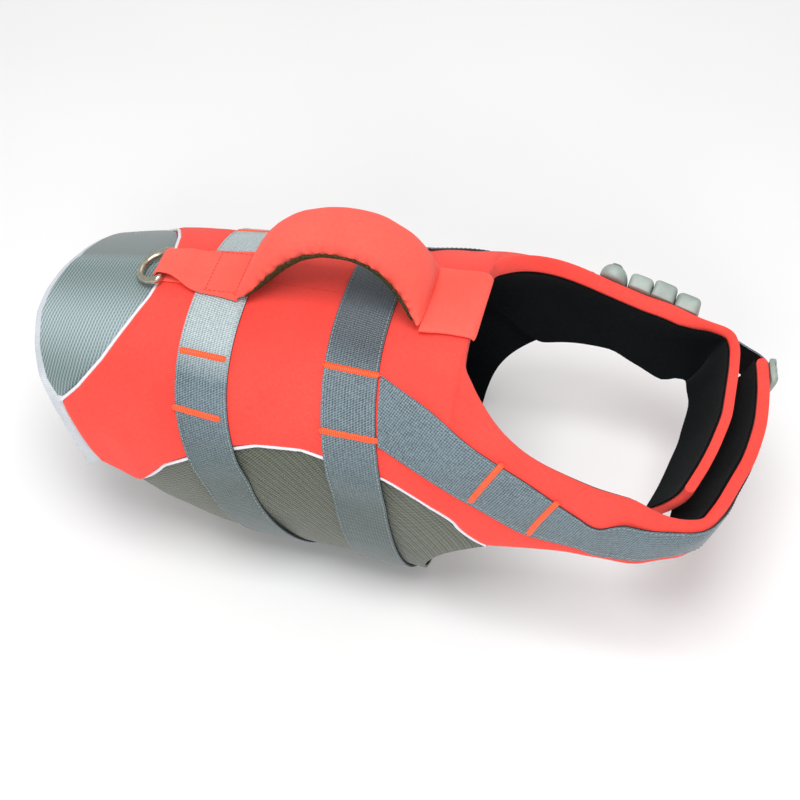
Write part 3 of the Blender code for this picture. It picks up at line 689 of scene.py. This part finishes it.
def cord(path):
    """Rings of a piping along a path: circles square to it, on a frame turned from a fixed upright
    line, whose size swells by a twenty-fifth as the cover's stitches pull at it."""
    tangent = unit(np.gradient(path, axis=0))
    aside = unit(np.cross(tangent, [0.13, 0.21, 0.97]))
    above = np.cross(aside, tangent)
    turn = steps_round(12)
    wide, tall = (f(turn)[None, :, None] for f in (np.cos, np.sin))
    ring = aside[:, None] * wide + above[:, None] * tall
    run = np.arange(len(path))
    swell = PIPING * (1 + 0.04 * np.sin(run * 1.3) * np.sin(run * 0.37))
    return path[:, None] + swell[:, None, None] * ring


white = white_tape("white_satin_tape", "E4E7EE", "F4F5F9", "CDD2DC")
# painted shade: the hem binding takes the white tape drawn greyer, with darker furrows, for the
# shade it lies in
binding_painted_shade = white_tape("white_binding_tape_painted_shade", "C6CBD2", "DCE0E5", "A9B0BA")
ends = np.linspace(69.5, 105.6, 30)
phi = np.concatenate([-ends[::-1], np.linspace(-68.5, 68.5, 110), ends])
near = rear_s(phi, "hem") - np.where(np.abs(phi) > 69, 1.0, 0.3)
far = rear_s(phi, "binding")
v = np.linspace(0, 1, 9)
s = near[:, None] * (1 - v) + far[:, None] * v
ring = phi[:, None] + rear_s(phi, "turn")[:, None] * v
bulge = 1.3 * rolled(2 * v - 1, 6)
bulge = bulge + 0.12 * np.sin(ring * 1.9) * np.sin(np.pi * v)
depth = RECESS - rear_s(phi, "droop")[:, None] * v * v
face, wall = layer(1, s, -ring, depth + bulge, depth + BINDING_WALL - bulge)
made = piece("hem_binding_tape", wall, binding_painted_shade, "hem_binding")

phi = np.linspace(-70, 70, 150)
seam_path = at(1, rear_s(phi, "seam") + 0.7, -phi, PIPING_DEPTH)
piece("piping_rump_cord", [tube(cord(seam_path))], white, "piping_rump")
t = np.linspace(0.1, len(BELLY_SEAM) - 1.06, 150)
s = np.interp(t, k, column(BELLY_SEAM, CUT, "low_s"))
phi = np.interp(t, k, column(BELLY_SEAM, CUT, "low_phi")) - 0.4
for side, hand in SIDES.items():
    name = f"piping_belly_{hand}"
    covered = [tube(cord(at(side, s, phi, PIPING_DEPTH)))]
    piece(name + "_cord", covered, white, name)

# Girth webbings: 38 mm polyester webbing over the back, down both sides and under the belly, sewn
# to the panels along its edges and held by satin bars. It carries the buckles on the left.
CLASPS = {"girth_rear_webbing": 88, "girth_front_webbing": 82}
WEB_WALL = 1.6
WEB_REST = 0.45
SELVEDGE_THIN = 0.35
BAR_HALF = 2.25
BAR_RISE = 1.05
STITCH = 2.4
STITCH_GAP = 1.1
THREAD = 0.32
BARS = {  # s, phi, to_s, to_phi of each bar
    "girth_rear_webbing": ((-139.5, 34.5, -104.5, 35.2), (-137.5, 58.0, -101.5, 59.6)),
    "girth_front_webbing": ((-38, 29.8, 2.5, 30.6), (-32.5, 57.0, 9.5, 58.2)),
}


def grey_webbing():
    """Solution-dyed polyester webbing: a fine twill with a soft shine, and tighter selvedges.

    The picks are really 0.9 mm; they are drawn at 1.7 mm, leaning, with a cross rib of 2.1 mm.
    Painted shade makes it darker and greener low down over the belly, a painted highlight makes
    it pale on top behind the handle, and a painted shadow darkens it under the handle's front end.
    """
    made, tree = finish("grey_twill_webbing", 0.36, sheen_weight=0.3, sheen_roughness=0.3,
                        specular_ior_level=0.95)
    along, across = cloth_axes(tree)
    slant = add(tree, "Math", {0: across, 1: 0.55, 2: along}, operation="MULTIPLY_ADD")[0]
    weave = {0: threads(tree, across, 2.1), 1: 0.6, 2: threads(tree, slant, 1.7)}
    twill = add(tree, "Math", weave, operation="MULTIPLY_ADD")[0]
    slubs = {0: twill, 1: blotch(tree, 620, -0.8, 0.8)}
    slub = add(tree, "Math", slubs, operation="ADD")[0]
    light = add(tree, "MapRange", {0: slub, 1: -1.6, 2: 1.6})[0]
    place = body_axes(tree)
    ahead, level = place[0], place[2]
    # painted shade: darker and greener low down, most over the belly
    belly = add(tree, "MapRange", {0: ahead, 1: 0.03, 2: 0.06, 3: 0.75, 4: 0.15})[0]
    painted_low_shade = add(tree, "MapRange", {0: level, 1: -0.025, 2: -0.085, 4: belly})[0]
    # painted highlight: paler on top of the rear webbing, behind the handle
    rear = add(tree, "MapRange", {0: ahead, 1: -0.05, 2: -0.09})[0]
    painted_top_highlight = add(tree, "MapRange", {0: level, 1: -0.014, 2: 0.002, 4: rear})[0]
    # painted shadow: darker under the handle's front end
    front = add(tree, "MapRange", {0: ahead, 1: -0.07, 2: -0.04, 4: 0.65})[0]
    painted_handle_shadow = add(tree, "MapRange", {0: level, 1: 0.003, 2: 0.012, 4: front})[0]
    colour = layered(tree, "25343D", (blotch(tree, 24, 0.0, 1.0, 3.0), "435660"), (light, "7F949E"),
                     (painted_low_shade, "33473E"), (painted_top_highlight, layered(tree, "8B9C9F", (light, "C6D6D8"))),
                     (painted_handle_shadow, "1C2632"))
    return dress(made, colour, twill, 0.00025, 0.7)


def bar_thread():
    """Trilobal embroidery thread in orange: glossy, its stitches across the bar 1.4 mm apart."""
    made, tree = finish("orange_bar_thread", 0.38, sheen_weight=0.2, specular_ior_level=0.5)
    stitch = threads(tree, cloth_axes(tree)[0], 1.4)
    share = add(tree, "MapRange", {0: stitch, 1: -1.0})[0]
    return dress(made, layered(tree, "F2420F", (share, "FF6A2C")), stitch, 0.0002, 0.6)


def bar(side, line):
    """Satin bar between two points: a low half-round ridge along the line, notched by stitches."""
    share = np.linspace(0, 1, 90)
    s = line[0] + (line[2] - line[0]) * share
    phi = line[1] + (line[3] - line[1]) * share
    base = at(side, s, phi, -(WEB_REST + WEB_WALL - 0.1))
    up = normal(side, s, phi)
    tangent = unit(np.gradient(base, axis=0))
    aside = np.cross(up, tangent)
    notch = 1 + 0.07 * np.sin(share * 26 * 2 * math.pi)
    taper = np.clip(np.minimum(share, 1 - share) / 0.03, 0.35, 1)
    turn = steps_round(12)
    wide = (BAR_HALF * notch * taper)[:, None, None] * np.cos(turn)[None, :, None]
    tall = (BAR_RISE * taper)[:, None, None] * np.maximum(np.sin(turn), -0.3)[None, :, None]
    return tube(base[:, None] + aside[:, None] * wide + up[:, None] * tall)


def sunk(s, phi):
    """Depth of the cloth under a webbing: none on the foam, more on the belly mesh."""
    seam = np.interp(s, column(BELLY_SEAM, CUT, "low_s"), column(BELLY_SEAM, CUT, "low_phi"))
    past = 180 - np.abs(180 - np.mod(phi, 360)) - seam
    step = np.clip((past - 3.0) / 16.0, 0, 1)
    return RECESS * step * step * (3 - 2 * step)


def stitched(path, up):
    """Row of stitches along a path: short closed spindles with six sides, evenly spaced on it."""
    run = np.concatenate([[0.0], np.cumsum(np.linalg.norm(np.diff(path, axis=0), axis=1))])
    starts = np.arange(0.5, run[-1] - STITCH, STITCH + STITCH_GAP)
    share = np.linspace(0, 1, 5)
    places = starts[:, None] + share[None, :] * STITCH
    line = np.stack([np.interp(places, run, path[:, i]) for i in range(3)], axis=-1)
    rise = unit(np.stack([np.interp(places, run, up[:, i]) for i in range(3)], axis=-1))
    aside = unit(np.cross(rise, unit(np.gradient(line, axis=1))))
    turn = steps_round(6)
    fat = THREAD * np.sqrt(np.clip(1.02 - (2 * share - 1) ** 2, 0.05, 1))
    across, above = np.cos(turn)[:, None], np.sin(turn)[:, None] * 0.7 + 0.2
    ring = aside[:, :, None] * across + rise[:, :, None] * above
    grid = line[:, :, None] + fat[None, :, None, None] * ring
    points = grid.reshape(-1, 3)
    one = np.arange(30).reshape(5, 6)
    right = np.roll(one, -1, axis=1)
    quads = np.stack([one[:-1], one[1:], right[1:], right[:-1]], axis=-1).reshape(-1, 4)
    caps = np.array([[0, 1, 2, 3], [3, 4, 5, 0], [27, 26, 25, 24], [24, 29, 28, 27]])
    quads = np.concatenate([quads, caps])
    faces = (np.arange(len(starts))[:, None, None] * 30 + quads[None]).reshape(-1, 4)
    uv = np.stack([np.repeat(places.reshape(-1), 6), np.zeros(len(points))], axis=-1) * 0.001
    return points, faces, uv


def sewn_on(name, side, s, phi, depth, bars, edges):
    """Webbing sewn to the panels: a tape on a grid at a depth, whose edges thin by the eighth power
    of the way from its middle, with its rim dark as painted shade; its bars; and rows of stitches
    at the edges' s, phi and depth."""
    out = np.abs(np.linspace(-1, 1, s.shape[1]))
    face, wall = layer(side, s, phi, depth - WEB_WALL + SELVEDGE_THIN * out ** 8, depth)
    made = piece(name + "_tape", wall, webbing, name)
    # painted shade: the tape's rim takes a dark finish for the shadow along its edge
    second(made, face, 2, rim_painted_shade)
    piece(name + "_bars", bars, orange)
    sewn = [stitched(at(side, *edge), normal(side, *edge[:2])) for edge in edges]
    piece(name + "_stitches", sewn, grey_thread)


def sewing_thread(name, dark, light):
    """Bonded polyester sewing thread: the twist of its strands gives a fine change of shade."""
    made, tree = finish(name, 0.5, specular_ior_level=0.4)
    colour = layered(tree, dark, (blotch(tree, 900, 0.0, 1.0), light))
    return dress(made, colour)


webbing = grey_webbing()
# painted shade: a dark finish for the webbing's rim, standing in for the shadow at its edge
rim_painted_shade = sewing_thread("webbing_rim_painted_shade", "23292C", "363F43")
orange = bar_thread()
grey_thread = sewing_thread("grey_sewing_thread", "7C8C90", "A8B6B8")
for name, route in GIRTHS.items():
    phi = np.linspace(0.5 - CLASPS[name], 322 - CLASPS[name], 300)
    middle = girth_s(phi, *route)
    s = middle[:, None] + WEB_WIDTH * np.linspace(-0.5, 0.5, 11)[None, :]
    ring = phi[:, None] + 0 * s
    bars = [bar(side, line) for line in BARS[name] for side in SIDES]
    edges = []
    for place in (-0.46, 0.46):
        run = middle + WEB_WIDTH * place
        edges.append((run, phi, sunk(run, phi) - WEB_REST - WEB_WALL))
    sewn_on(name, -1, s, ring, sunk(s, ring) - WEB_REST, bars, edges)

# Chest webbings: the same webbing from the front girth webbing along each shoulder band. The right
# one runs on round the chest flap to the slider; the left one ends at the keeper.
WEB_RUN = ("up_s", "up_phi", "low_s", "low_phi")
CHEST_WEB_RIGHT = (
    (3.0, 30.1, 9.2, 60.5),
    (36.7, 41.9, 43.2, 72.4),
    (75.4, 56.9, 75.6, 81.2),
    (112.1, 67.2, 115.7, 88.5),
    (143.7, 77, 146, 89.6),
    (160, 81, 160, 90.2),
    (180, 76.4, 180, 90.8),
    (205, 76.5, 205, 95),
    (229, 82.5, 229, 104),
    (250, 92, 250, 117),
    (278, 101, 278, 128),
    (309, 102.5, 309, 130),
    (343, 102.5, 343, 130),
    (376, 102.5, 376, 130),
)
CHEST_WEB_LEFT = (
    (4.2, 38, 11.4, 66),
    (36.4, 50, 43.1, 77),
    (75.2, 61.5, 77, 84.5),
    (121, 63.5, 122, 86),
)
CHEST_BARS = {
    -1: ((93.9, 59.9, 74.9, 79.9), (132.8, 71.8, 115.6, 88.2)),
    1: ((93.9, 59.9, 74.9, 79.9),),
}
for (side, hand), table in zip(SIDES.items(), (CHEST_WEB_RIGHT, CHEST_WEB_LEFT)):
    t = np.linspace(0, len(table) - 1, 20 * len(table))
    up_s, up_phi, low_s, low_phi = read(table, WEB_RUN, t)
    v = np.linspace(0, 1, 11)[None, :]
    s, phi = up_s * (1 - v) + low_s * v, up_phi * (1 - v) + low_phi * v
    bars = [bar(side, line) for line in CHEST_BARS[side]]
    edges = []
    for share in (0.05, 0.95):
        run_s = (up_s * (1 - share) + low_s * share)[:, 0]
        run_phi = (up_phi * (1 - share) + low_phi * share)[:, 0]
        edges.append((run_s, run_phi, -WEB_REST - WEB_WALL))
    sewn_on(f"chest_webbing_{hand}", side, s, phi, -WEB_REST, bars, edges)

# Handle: a foam tube in a coral cover over the back, sewn down at both ends under a tab. The
# underside of the cover is closed with a dark tape whose edge puckers the coral.
GRIP = ("x", "z", "half_width", "half_wall")
HANDLE_GRIP = (
    (-108.5, 17.2, 26, 2.6),
    (-103, 21.5, 24.5, 5.5),
    (-96, 31, 21.5, 9),
    (-87, 43.5, 20, 11),
    (-76, 55, 19.5, 12),
    (-63, 63.5, 19, 12.5),
    (-48, 68.5, 19, 12.7),
    (-33, 69.5, 19, 13),
    (-18.5, 67, 19.5, 13.5),
    (-5.5, 60, 20.5, 13.5),
    (5, 50, 22.5, 12.5),
    (12, 39.5, 25, 10.5),
    (16.5, 30.5, 28, 7),
    (19.6, 26, 31, 3.6),
)
TAB_WALL = 2.0
FRONT_TAB_WALL = 3.6
FOLD_THIN = 0.42
TAPE_FROM = 15.0


def grip(t, turn, out):
    """Grip's surface: rings of superellipse section along its middle line, grown by out."""
    x, z, wide, thick = read(HANDLE_GRIP, GRIP, t)
    fine = np.linspace(0, len(HANDLE_GRIP) - 1, 400)
    dx, dz = (np.gradient(line[:, 0]) for line in list(read(HANDLE_GRIP, GRIP, fine))[:2])
    size = np.hypot(dx, dz)
    step_x = np.interp(t, fine, dx / size)[:, None]
    step_z = np.interp(t, fine, dz / size)[:, None]
    y = np.cos(turn) * (wide + out)
    rise = bent(np.sin(turn), 0.8) * (thick + out)
    return np.stack([x - step_z * rise, y, z + step_x * rise], axis=-1)


def dark_tape():
    """Olive-black hook-backed tape: rough, speckled with cut loops."""
    made, tree = finish("dark_loop_tape", 0.9, specular_ior_level=0.2)
    speck = blotch(tree, 1100, 0.0, 1.0, 4.0)
    return dress(made, layered(tree, "1E1A10", (speck, "5C5A34")), speck, 0.0006, 0.9)


# painted light: the handle and its tabs take a paler copy of the coral knit, for the light on top
# of the jacket
coral_painted_lit = coral_knit("coral_jersey_painted_lit", "FF5B4E", "FF6A5C", "F9503F")
t = np.linspace(0, len(HANDLE_GRIP) - 1, 150)
turn = steps_round(56)[None, :]
down = np.degrees(np.arctan2(-np.sin(turn), np.abs(np.cos(turn))))
pucker = 0.8 * bell(down - TAPE_FROM + 8, 9) * np.sin(t * 9 + 1.5 * np.sin(t * 2.3))[:, None]
dent = 0.5 * bell(down - TAPE_FROM, 6)
end = np.clip(np.minimum(t, len(HANDLE_GRIP) - 1 - t) / 1.5, 0, 1)[:, None]
slump = 0.6 * np.sin(t * 0.9 + 1)[:, None] * np.cos(2 * turn)
slump = slump + 0.25 * np.sin(t * 3.1)[:, None] * np.cos(turn + t[:, None])
rings = grip(t, turn, (pucker - dent + slump) * end)
cover = [tube(rings)]
made = piece("handle_grip_cover", cover, coral_painted_lit, "handle_grip")

t = np.linspace(0.8, len(HANDLE_GRIP) - 1.7, 170)
ragged = TAPE_FROM + 3.2 * np.sin(t * 11 + 2 * np.sin(t * 3.1)) + 1.6 * np.sin(t * 29)
low, high = np.radians(180 + ragged)[:, None], np.radians(360 - ragged[::-1])[:, None]
turn = low + (high - low) * np.linspace(0, 1, 26)[None, :]
crinkle = 0.35 * np.sin(t * 17 + 2 * np.sin(t * 5))[:, None] * np.sin(turn * 5) ** 2
face = grip(t, turn, 1.4 + crinkle)
wall = [shell(face, grip(t, turn, 0.1))]
made = piece("handle_under_tape", wall, dark_tape())


def on_back(x, y):
    """Height of the outer face at a point near the back line."""
    stations = column(TRUNK, SECTION, "s")
    names = ("curl", "top", "side", "power")
    curl, top, widest, power = (smooth(stations, column(TRUNK, SECTION, n), x) for n in names)
    return widest + (top - widest) * (1 - (np.abs(y) / curl) ** power) ** (1 / power)


def tab(line, half, wall):
    """Two grids of a strip over the back. The line gives x and height above the back; points are
    taken along it by the smooth curve, offset square to it by the wall, and the edges thin as a
    folded edge does."""
    line = np.asarray(line, dtype=float)
    rows = np.arange(float(len(line)))
    t = np.linspace(0, len(line) - 1, 7 * len(line))
    path = np.stack([smooth(rows, line[:, 0], t), smooth(rows, line[:, 1], t)], axis=1)
    wide = smooth(rows, np.asarray(half, dtype=float), t)[:, None]
    step = unit(np.gradient(path, axis=0))
    out = np.stack([-step[:, 1], step[:, 0]], axis=1)
    v = np.sin(np.linspace(-1, 1, 25) * math.pi / 2)[None, :]
    y = wide * v
    edge = FOLD_THIN * wall * rolled(v, 10)
    grids = []
    for shift in (edge, wall - edge):
        x = path[:, :1] + out[:, :1] * shift
        lift = path[:, 1:] + out[:, 1:] * shift
        level = on_back(x, y * np.clip((x + 158) / 12, 0, 1))
        grids.append(np.stack([x, y + 0 * x, level + lift], axis=-1))
    return grids


def tab_piece(node, grids):
    """The tab between two grids, sewn on folded."""
    wall = [shell(grids[1], grids[0])]
    made = piece(node + "_cloth", wall, coral_painted_lit, node)


coral_thread = sewing_thread("coral_sewing_thread", "C21C14", "E8392E")
front = [(20.4, 3.2), (27, 2.4), (34, 1.6), (41, 1.2), (47, 1.2), (52, 1.1), (55.2, 0.4),
         (56.6, -1.6)]
grids = tab(front[::-1], [31, 31.5, 32, 32, 31.5, 31.5, 32, 32], -FRONT_TAB_WALL)
tab_piece("handle_front_tab", grids)

RING_X = -170.5
RING_WIRE = 2.7
bore = RING_WIRE + 0.55
ring_level = bore + TAB_WALL + 0.4
half_turn = np.radians(np.linspace(0, 180, 9))
bend = [(RING_X - bore * math.sin(a), ring_level - bore * math.cos(a)) for a in half_turn]
over = [(-164, ring_level + bore - 0.3), (-156, ring_level + 1.2), (-148, 3.7), (-138, 3.0),
        (-124, 2.9), (-109.2, 2.9)]
half = [13.6, 12.9] + [12.5] * 9 + [13.2, 16.2, 19.2, 22, 23.6, 26]
grids = tab([(-150, ring_level - bore), (-160, ring_level - bore)] + bend + over, half, TAB_WALL)
tab_piece("handle_rear_tab", grids)

lines = []
for x0, x1, wide, lift in ((22.5, 50, 27, 2.9), (-136, -112, 20, 5.0)):
    for y in (-wide, wide):
        x = np.linspace(x0, x1, 30)
        path = np.stack([x, 0 * x + y, on_back(x, 0 * x + y) + lift], axis=1)
        lines.append(stitched(path, np.tile([0.0, y * 0.004, 1.0], (30, 1))))
for x, wide, lift in ((22.5, 27, 2.9), (49.5, 27, 3.0), (-134, 20, 5.1), (-112, 23, 4.95)):
    y = np.linspace(-wide, wide, 30)
    path = np.stack([0 * y + x, y, on_back(0 * y + x, y) + lift], axis=1)
    lines.append(stitched(path, np.stack([0 * y, y * 0.004, 0 * y + 1], axis=1)))
piece("handle_tab_stitches", lines, coral_thread)

# D-ring: steel wire bent to a D, butt-welded on its straight bar and nickel plated. The bar lies in
# the fold of the rear tab, and the ring swings on it.
RING_HALF = 15.6
RING_DEPTH = 20.5
RING_CORNER = 2.8
RING_TIP = math.radians(23.0)


def nickel_plate():
    """Dull nickel on steel wire: warm grey metal with fine scratches and a few darker spots."""
    made, tree = finish("dull_nickel_plate", 0.28, metallic=1.0)
    gloss = tree.nodes["Principled BSDF"].inputs["Roughness"]
    tree.links.new(blotch(tree, 800, 0.22, 0.42), gloss)
    colour = layered(tree, "CFCBB9", (blotch(tree, 260, 0.0, 0.6), "A39E8A"))
    return dress(made, colour, blotch(tree, 1500, 0.0, 1.0), 0.00004, 0.4)


level = float(on_back(np.array(RING_X), np.array(0.0))) + ring_level
flat = RING_HALF - RING_CORNER
quarter = np.radians(np.linspace(0, 90, 9))[1:]
arc = np.radians(np.linspace(0, 180, 60))[1:]
back = quarter[-2::-1]
u = np.concatenate([np.zeros(30), RING_CORNER * (np.cos(quarter) - 1),
                    RING_HALF - RING_DEPTH - RING_HALF * np.sin(arc),
                    RING_CORNER * (np.cos(back) - 1)])
w = np.concatenate([np.linspace(-flat, flat, 30), flat + RING_CORNER * np.sin(quarter),
                    RING_HALF * np.cos(arc), -flat - RING_CORNER * np.sin(back)])
path = np.stack([RING_X + u * math.cos(RING_TIP), w, level + u * math.sin(RING_TIP)], axis=1)
tangent = unit(np.roll(path, -1, axis=0) - np.roll(path, 1, axis=0))
up = np.array([-math.sin(RING_TIP), 0.0, math.cos(RING_TIP)])
aside = unit(np.cross(tangent, up))
turn = steps_round(20)
weld = 1 + 0.07 * bell(w, 2.0) * (np.abs(u) < 0.5)
ring = aside[:, None] * np.cos(turn)[:, None] + up * np.sin(turn)[:, None]
grid = path[:, None] + (RING_WIRE * weld)[:, None, None] * ring
index = np.arange(grid.shape[0] * 20).reshape(-1, 20)
after = np.roll(index, -1, axis=0)
corners = [index, after, np.roll(after, -1, axis=1), np.roll(index, -1, axis=1)]
quads = np.stack(corners, axis=-1).reshape(-1, 4)
uv = np.zeros((grid.shape[0] * 20, 2))
wire = [(grid.reshape(-1, 3), quads, uv)]
piece("d_ring_wire", wire, nickel_plate(), "d_ring", body="d_ring")

# Buckles, keeper and slider: moulded plastic. Each girth webbing and the chest strap closes on the
# left with a side-release buckle, and the chest webbing runs through a keeper and a slider.


def moulded():
    """Injection-moulded acetal in grey-green: a fine spark-eroded texture with a soft shine."""
    made, tree = finish("grey_acetal", 0.42, specular_ior_level=0.5)
    colour = layered(tree, "8F9C95", (blotch(tree, 90, 0.0, 1.0), "A5B1AA"))
    return dress(made, colour, blotch(tree, 1400, 0.0, 1.0), 0.00008, 0.5)


def slab(side, middle, half, low, high, corner, edge, crown, slant=None):
    """Rounded plate on the panel: rings of superellipse outline, in s and phi about its middle,
    that rise up its wall, turn over a rounded edge and close on the top, and the same below."""
    turn = steps_round(64)
    cx, cy = bent(np.cos(turn), corner), bent(np.sin(turn), corner)
    bow = np.radians(np.linspace(0, 90, 7))
    inset = np.concatenate([[half[0] * 0.97], edge * 0.5 * (1 - np.sin(bow[::3])),
                            edge * (1 - np.cos(bow)), [half[0] * 0.5, half[0] * 0.97]])
    tall = np.concatenate([[low], low + edge * 0.3 * (1 - np.cos(bow[::3])),
                           high - edge * (1 - np.sin(bow)), [high + crown * 0.7, high + crown]])
    s = middle[0] + (half[0] - inset)[:, None] * cx
    phi = middle[1] + np.maximum(half[1] - inset / 1.85, half[1] * 0.03)[:, None] * cy
    if slant is not None:
        s = s + girth_s(phi, *slant)
    return tube(at(side, s, phi, -tall[:, None] + 0 * s))


# A side-release buckle has a body plate, a thumb pad and two latch arms on its female half, and a
# plate, three web bars and two arms on its male half. Rows give each plate's place from the middle
# of its half: an offset in s, a row as a share of the half's length and a shift in degrees.
HALF_PLATES = {  # offset, row, shift, half_s, share, low, high, corner, edge, crown
    "female": (
        (0, 0, 0, 23.5, 1, 0, 8.5, 0.5, 2.5, 0.0),
        (0, 0, -1, 14, 0.62, 7.5, 11, 0.7, 2.0, 0.3),
        (-20, 0, 1.5, 3.4, 0.5, 2, 10.2, 0.6, 1.6, 0.0),
        (20, 0, 1.5, 3.4, 0.5, 2, 10.2, 0.6, 1.6, 0.0),
    ),
    "male": (
        (0, 0, 0, 22.5, 1, 0, 5.5, 0.5, 2.2, 0.0),
        (0, -0.62, 0, 19.5, 0.16, 4.5, 10, 0.5, 1.4, 0.0),
        (0, 0, 0, 19.5, 0.16, 4.5, 10, 0.5, 1.4, 0.0),
        (0, 0.62, 0, 19.5, 0.16, 4.5, 10, 0.5, 1.4, 0.0),
        (-19.5, 0, 0, 3, 0.9, 3, 9.6, 0.5, 1.4, 0.0),
        (19.5, 0, 0, 3, 0.9, 3, 9.6, 0.5, 1.4, 0.0),
    ),
}
HALF_REACH = {"female": (0, 17), "male": (17.4, 37.5)}
STAND_OFF = 1.0
plastic = moulded()
base = STAND_OFF - RECESS
for name, route in GIRTHS.items():
    for kind, (start, end) in HALF_REACH.items():
        mid, half = CLASPS[name] + (start + end) / 2, (end - start) / 2
        parts = []
        for offset, row, shift, half_s, share, low, high, *rest in HALF_PLATES[kind]:
            place, size = (offset, mid + half * row + shift), (half_s, half * share)
            parts.append(slab(1, place, size, base + low, base + high, *rest, route))
        node = name.replace("_webbing", "_buckle") + "_" + kind
        piece(node + "_moulding", parts, plastic, node)

CHEST_PLATES = (  # piece, side, s, phi, half_s, half_phi, low, high, corner, edge, crown
    ("chest_keeper", 1, 134.5, 72.5, 10.5, 12.5, 1.0, 12.5, 0.75, 6.5, 1.4),
    ("chest_buckle_female", 1, 154.9, 75.5, 8.8, 12.4, 1.0, 12.4, 0.3, 3.0, 0.5),
    ("chest_buckle_female", 1, 172.6, 75.5, 8.8, 12.4, 1.0, 14.0, 0.25, 2.2, 0.5),
    ("chest_buckle_male", 1, 191.1, 76.5, 9.3, 11.4, 1.0, 13.4, 0.35, 3.2, 0.5),
    ("chest_slider", -1, 389.4, 97, 10.9, 14.8, 1.0, 4.6, 0.5, 1.8, 0.0),
    ("chest_slider", -1, 382.4, 97, 2.0, 13, 4.0, 5.6, 0.5, 0.7, 0.0),
    ("chest_slider", -1, 389.4, 97, 2.0, 13, 4.0, 5.6, 0.5, 0.7, 0.0),
    ("chest_slider", -1, 396.4, 97, 2.0, 13, 4.0, 5.6, 0.5, 0.7, 0.0),
)
for name in dict.fromkeys(row[0] for row in CHEST_PLATES):
    plates = [row[1:] for row in CHEST_PLATES if row[0] == name]
    parts = [slab(side, (s, phi), (half_s, half_phi), *rest)
             for side, s, phi, half_s, half_phi, *rest in plates]
    piece(name + "_moulding", parts, plastic, name)

# Closing strap: the free stretch of chest webbing between the buckle's male half and the end of the
# right flap. It stands a little off the shoulder and leans as it goes down.
PLAN = ((201.4, 104.2), (212, 103.3), (223, 100.6), (232, 96.2), (240.5, 91), (247.5, 86),
        (252.7, 79.6), (255.4, 72.6))
t = np.linspace(0, len(PLAN) - 1, 60)
line = np.concatenate(list(read(PLAN, ("x", "y"), t)), axis=1)
step = unit(np.gradient(line, axis=0))
outward = np.stack([-step[:, 1], step[:, 0]], axis=1)
share = (t / (len(PLAN) - 1))[:, None]
low, high = -93 + share, -57 - 5 * np.sin(math.pi * share)
level = low + (high - low) * np.linspace(0, 1, 11)
lean = share * (level - high) * 0.28
grids = []
for shift in (STAND_OFF + WEB_WALL, STAND_OFF):
    here = line + outward * shift
    grids.append(np.stack([here[:, :1] + lean, here[:, 1:] - lean, level], axis=-1))
wall = [shell(*grids)]
made = piece("chest_strap_tape", wall, webbing, "chest_strap")
# painted shade: the strap's inner face takes the black knit, for the shade it lies in
second(made, grids[0], 1, black)

# Studio: a plain white floor just below the belly that runs on to the horizon, a large soft light
# overhead, a fill from the right and a weaker one behind. Its sizes are in metres.
FLOOR = -0.206
REACH = 9


def floor_paint():
    """Matt white paint on a smooth board, with a barely visible roller texture."""
    made, tree = finish("matt_white_floor", 0.9, specular_ior_level=0.1)
    colour = layered(tree, "F7F7F7", (blotch(tree, 3, 0.0, 1.0), "FAFAFA"))
    return dress(made, colour)


mesh = bpy.data.meshes.new("floor")
corners = [(x * REACH, y * REACH, FLOOR) for x, y in ((-1, -1), (1, -1), (1, 1), (-1, 1))]
mesh.from_pydata(corners, [], [(0, 1, 2, 3)])
mesh.materials.append(floor_paint())
placed("floor", mesh)


def softbox(name, place, aim, size, power):
    """Square area light that faces a point."""
    lamp = bpy.data.lights.new(name, "AREA")
    lamp.size = size
    lamp.energy = power
    holder = placed(name, lamp)
    holder.location = place
    x, y, z = np.array(place) - np.array(aim)
    holder.rotation_euler = (math.atan2(math.hypot(x, y), z), 0, math.atan2(y, x) + math.pi / 2)


softbox("overhead", (0.1, -0.6, 1.8), (0, 0, -0.1), 1.0, 26)
softbox("fill_right", (0.2, -1.8, 1.1), (0, 0, -0.1), 0.6, 10)
softbox("back", (-0.3, 2.0, 1.5), (0, 0.5, -0.1), 1.2, 5)
world = bpy.data.worlds.new("studio")
world.use_nodes = True
glow = world.node_tree.nodes["Background"].inputs
glow["Color"].default_value = (1, 1, 1, 1)
glow["Strength"].default_value = 0.49
bpy.context.scene.world = world
bpy.context.scene.view_settings.view_transform = "Standard"

SENSOR = 36
LENS = 1550 / 800 * SENSOR
AIM = np.array([0.0, 0.0, -85.0])
azimuth, elevation, distance = math.radians(14.2), math.radians(47.5), 1137.0
level = math.cos(elevation)
view = np.array([math.sin(azimuth) * level, -math.cos(azimuth) * level, math.sin(elevation)])
camera = placed("camera", bpy.data.cameras.new("camera"))
camera.location = (AIM + distance * view) * 0.001
camera.rotation_euler = (math.pi / 2 - elevation, 0, azimuth)
camera.data.lens = LENS
camera.data.sensor_width = SENSOR
camera.data.clip_start = 0.05
bpy.context.scene.camera = camera
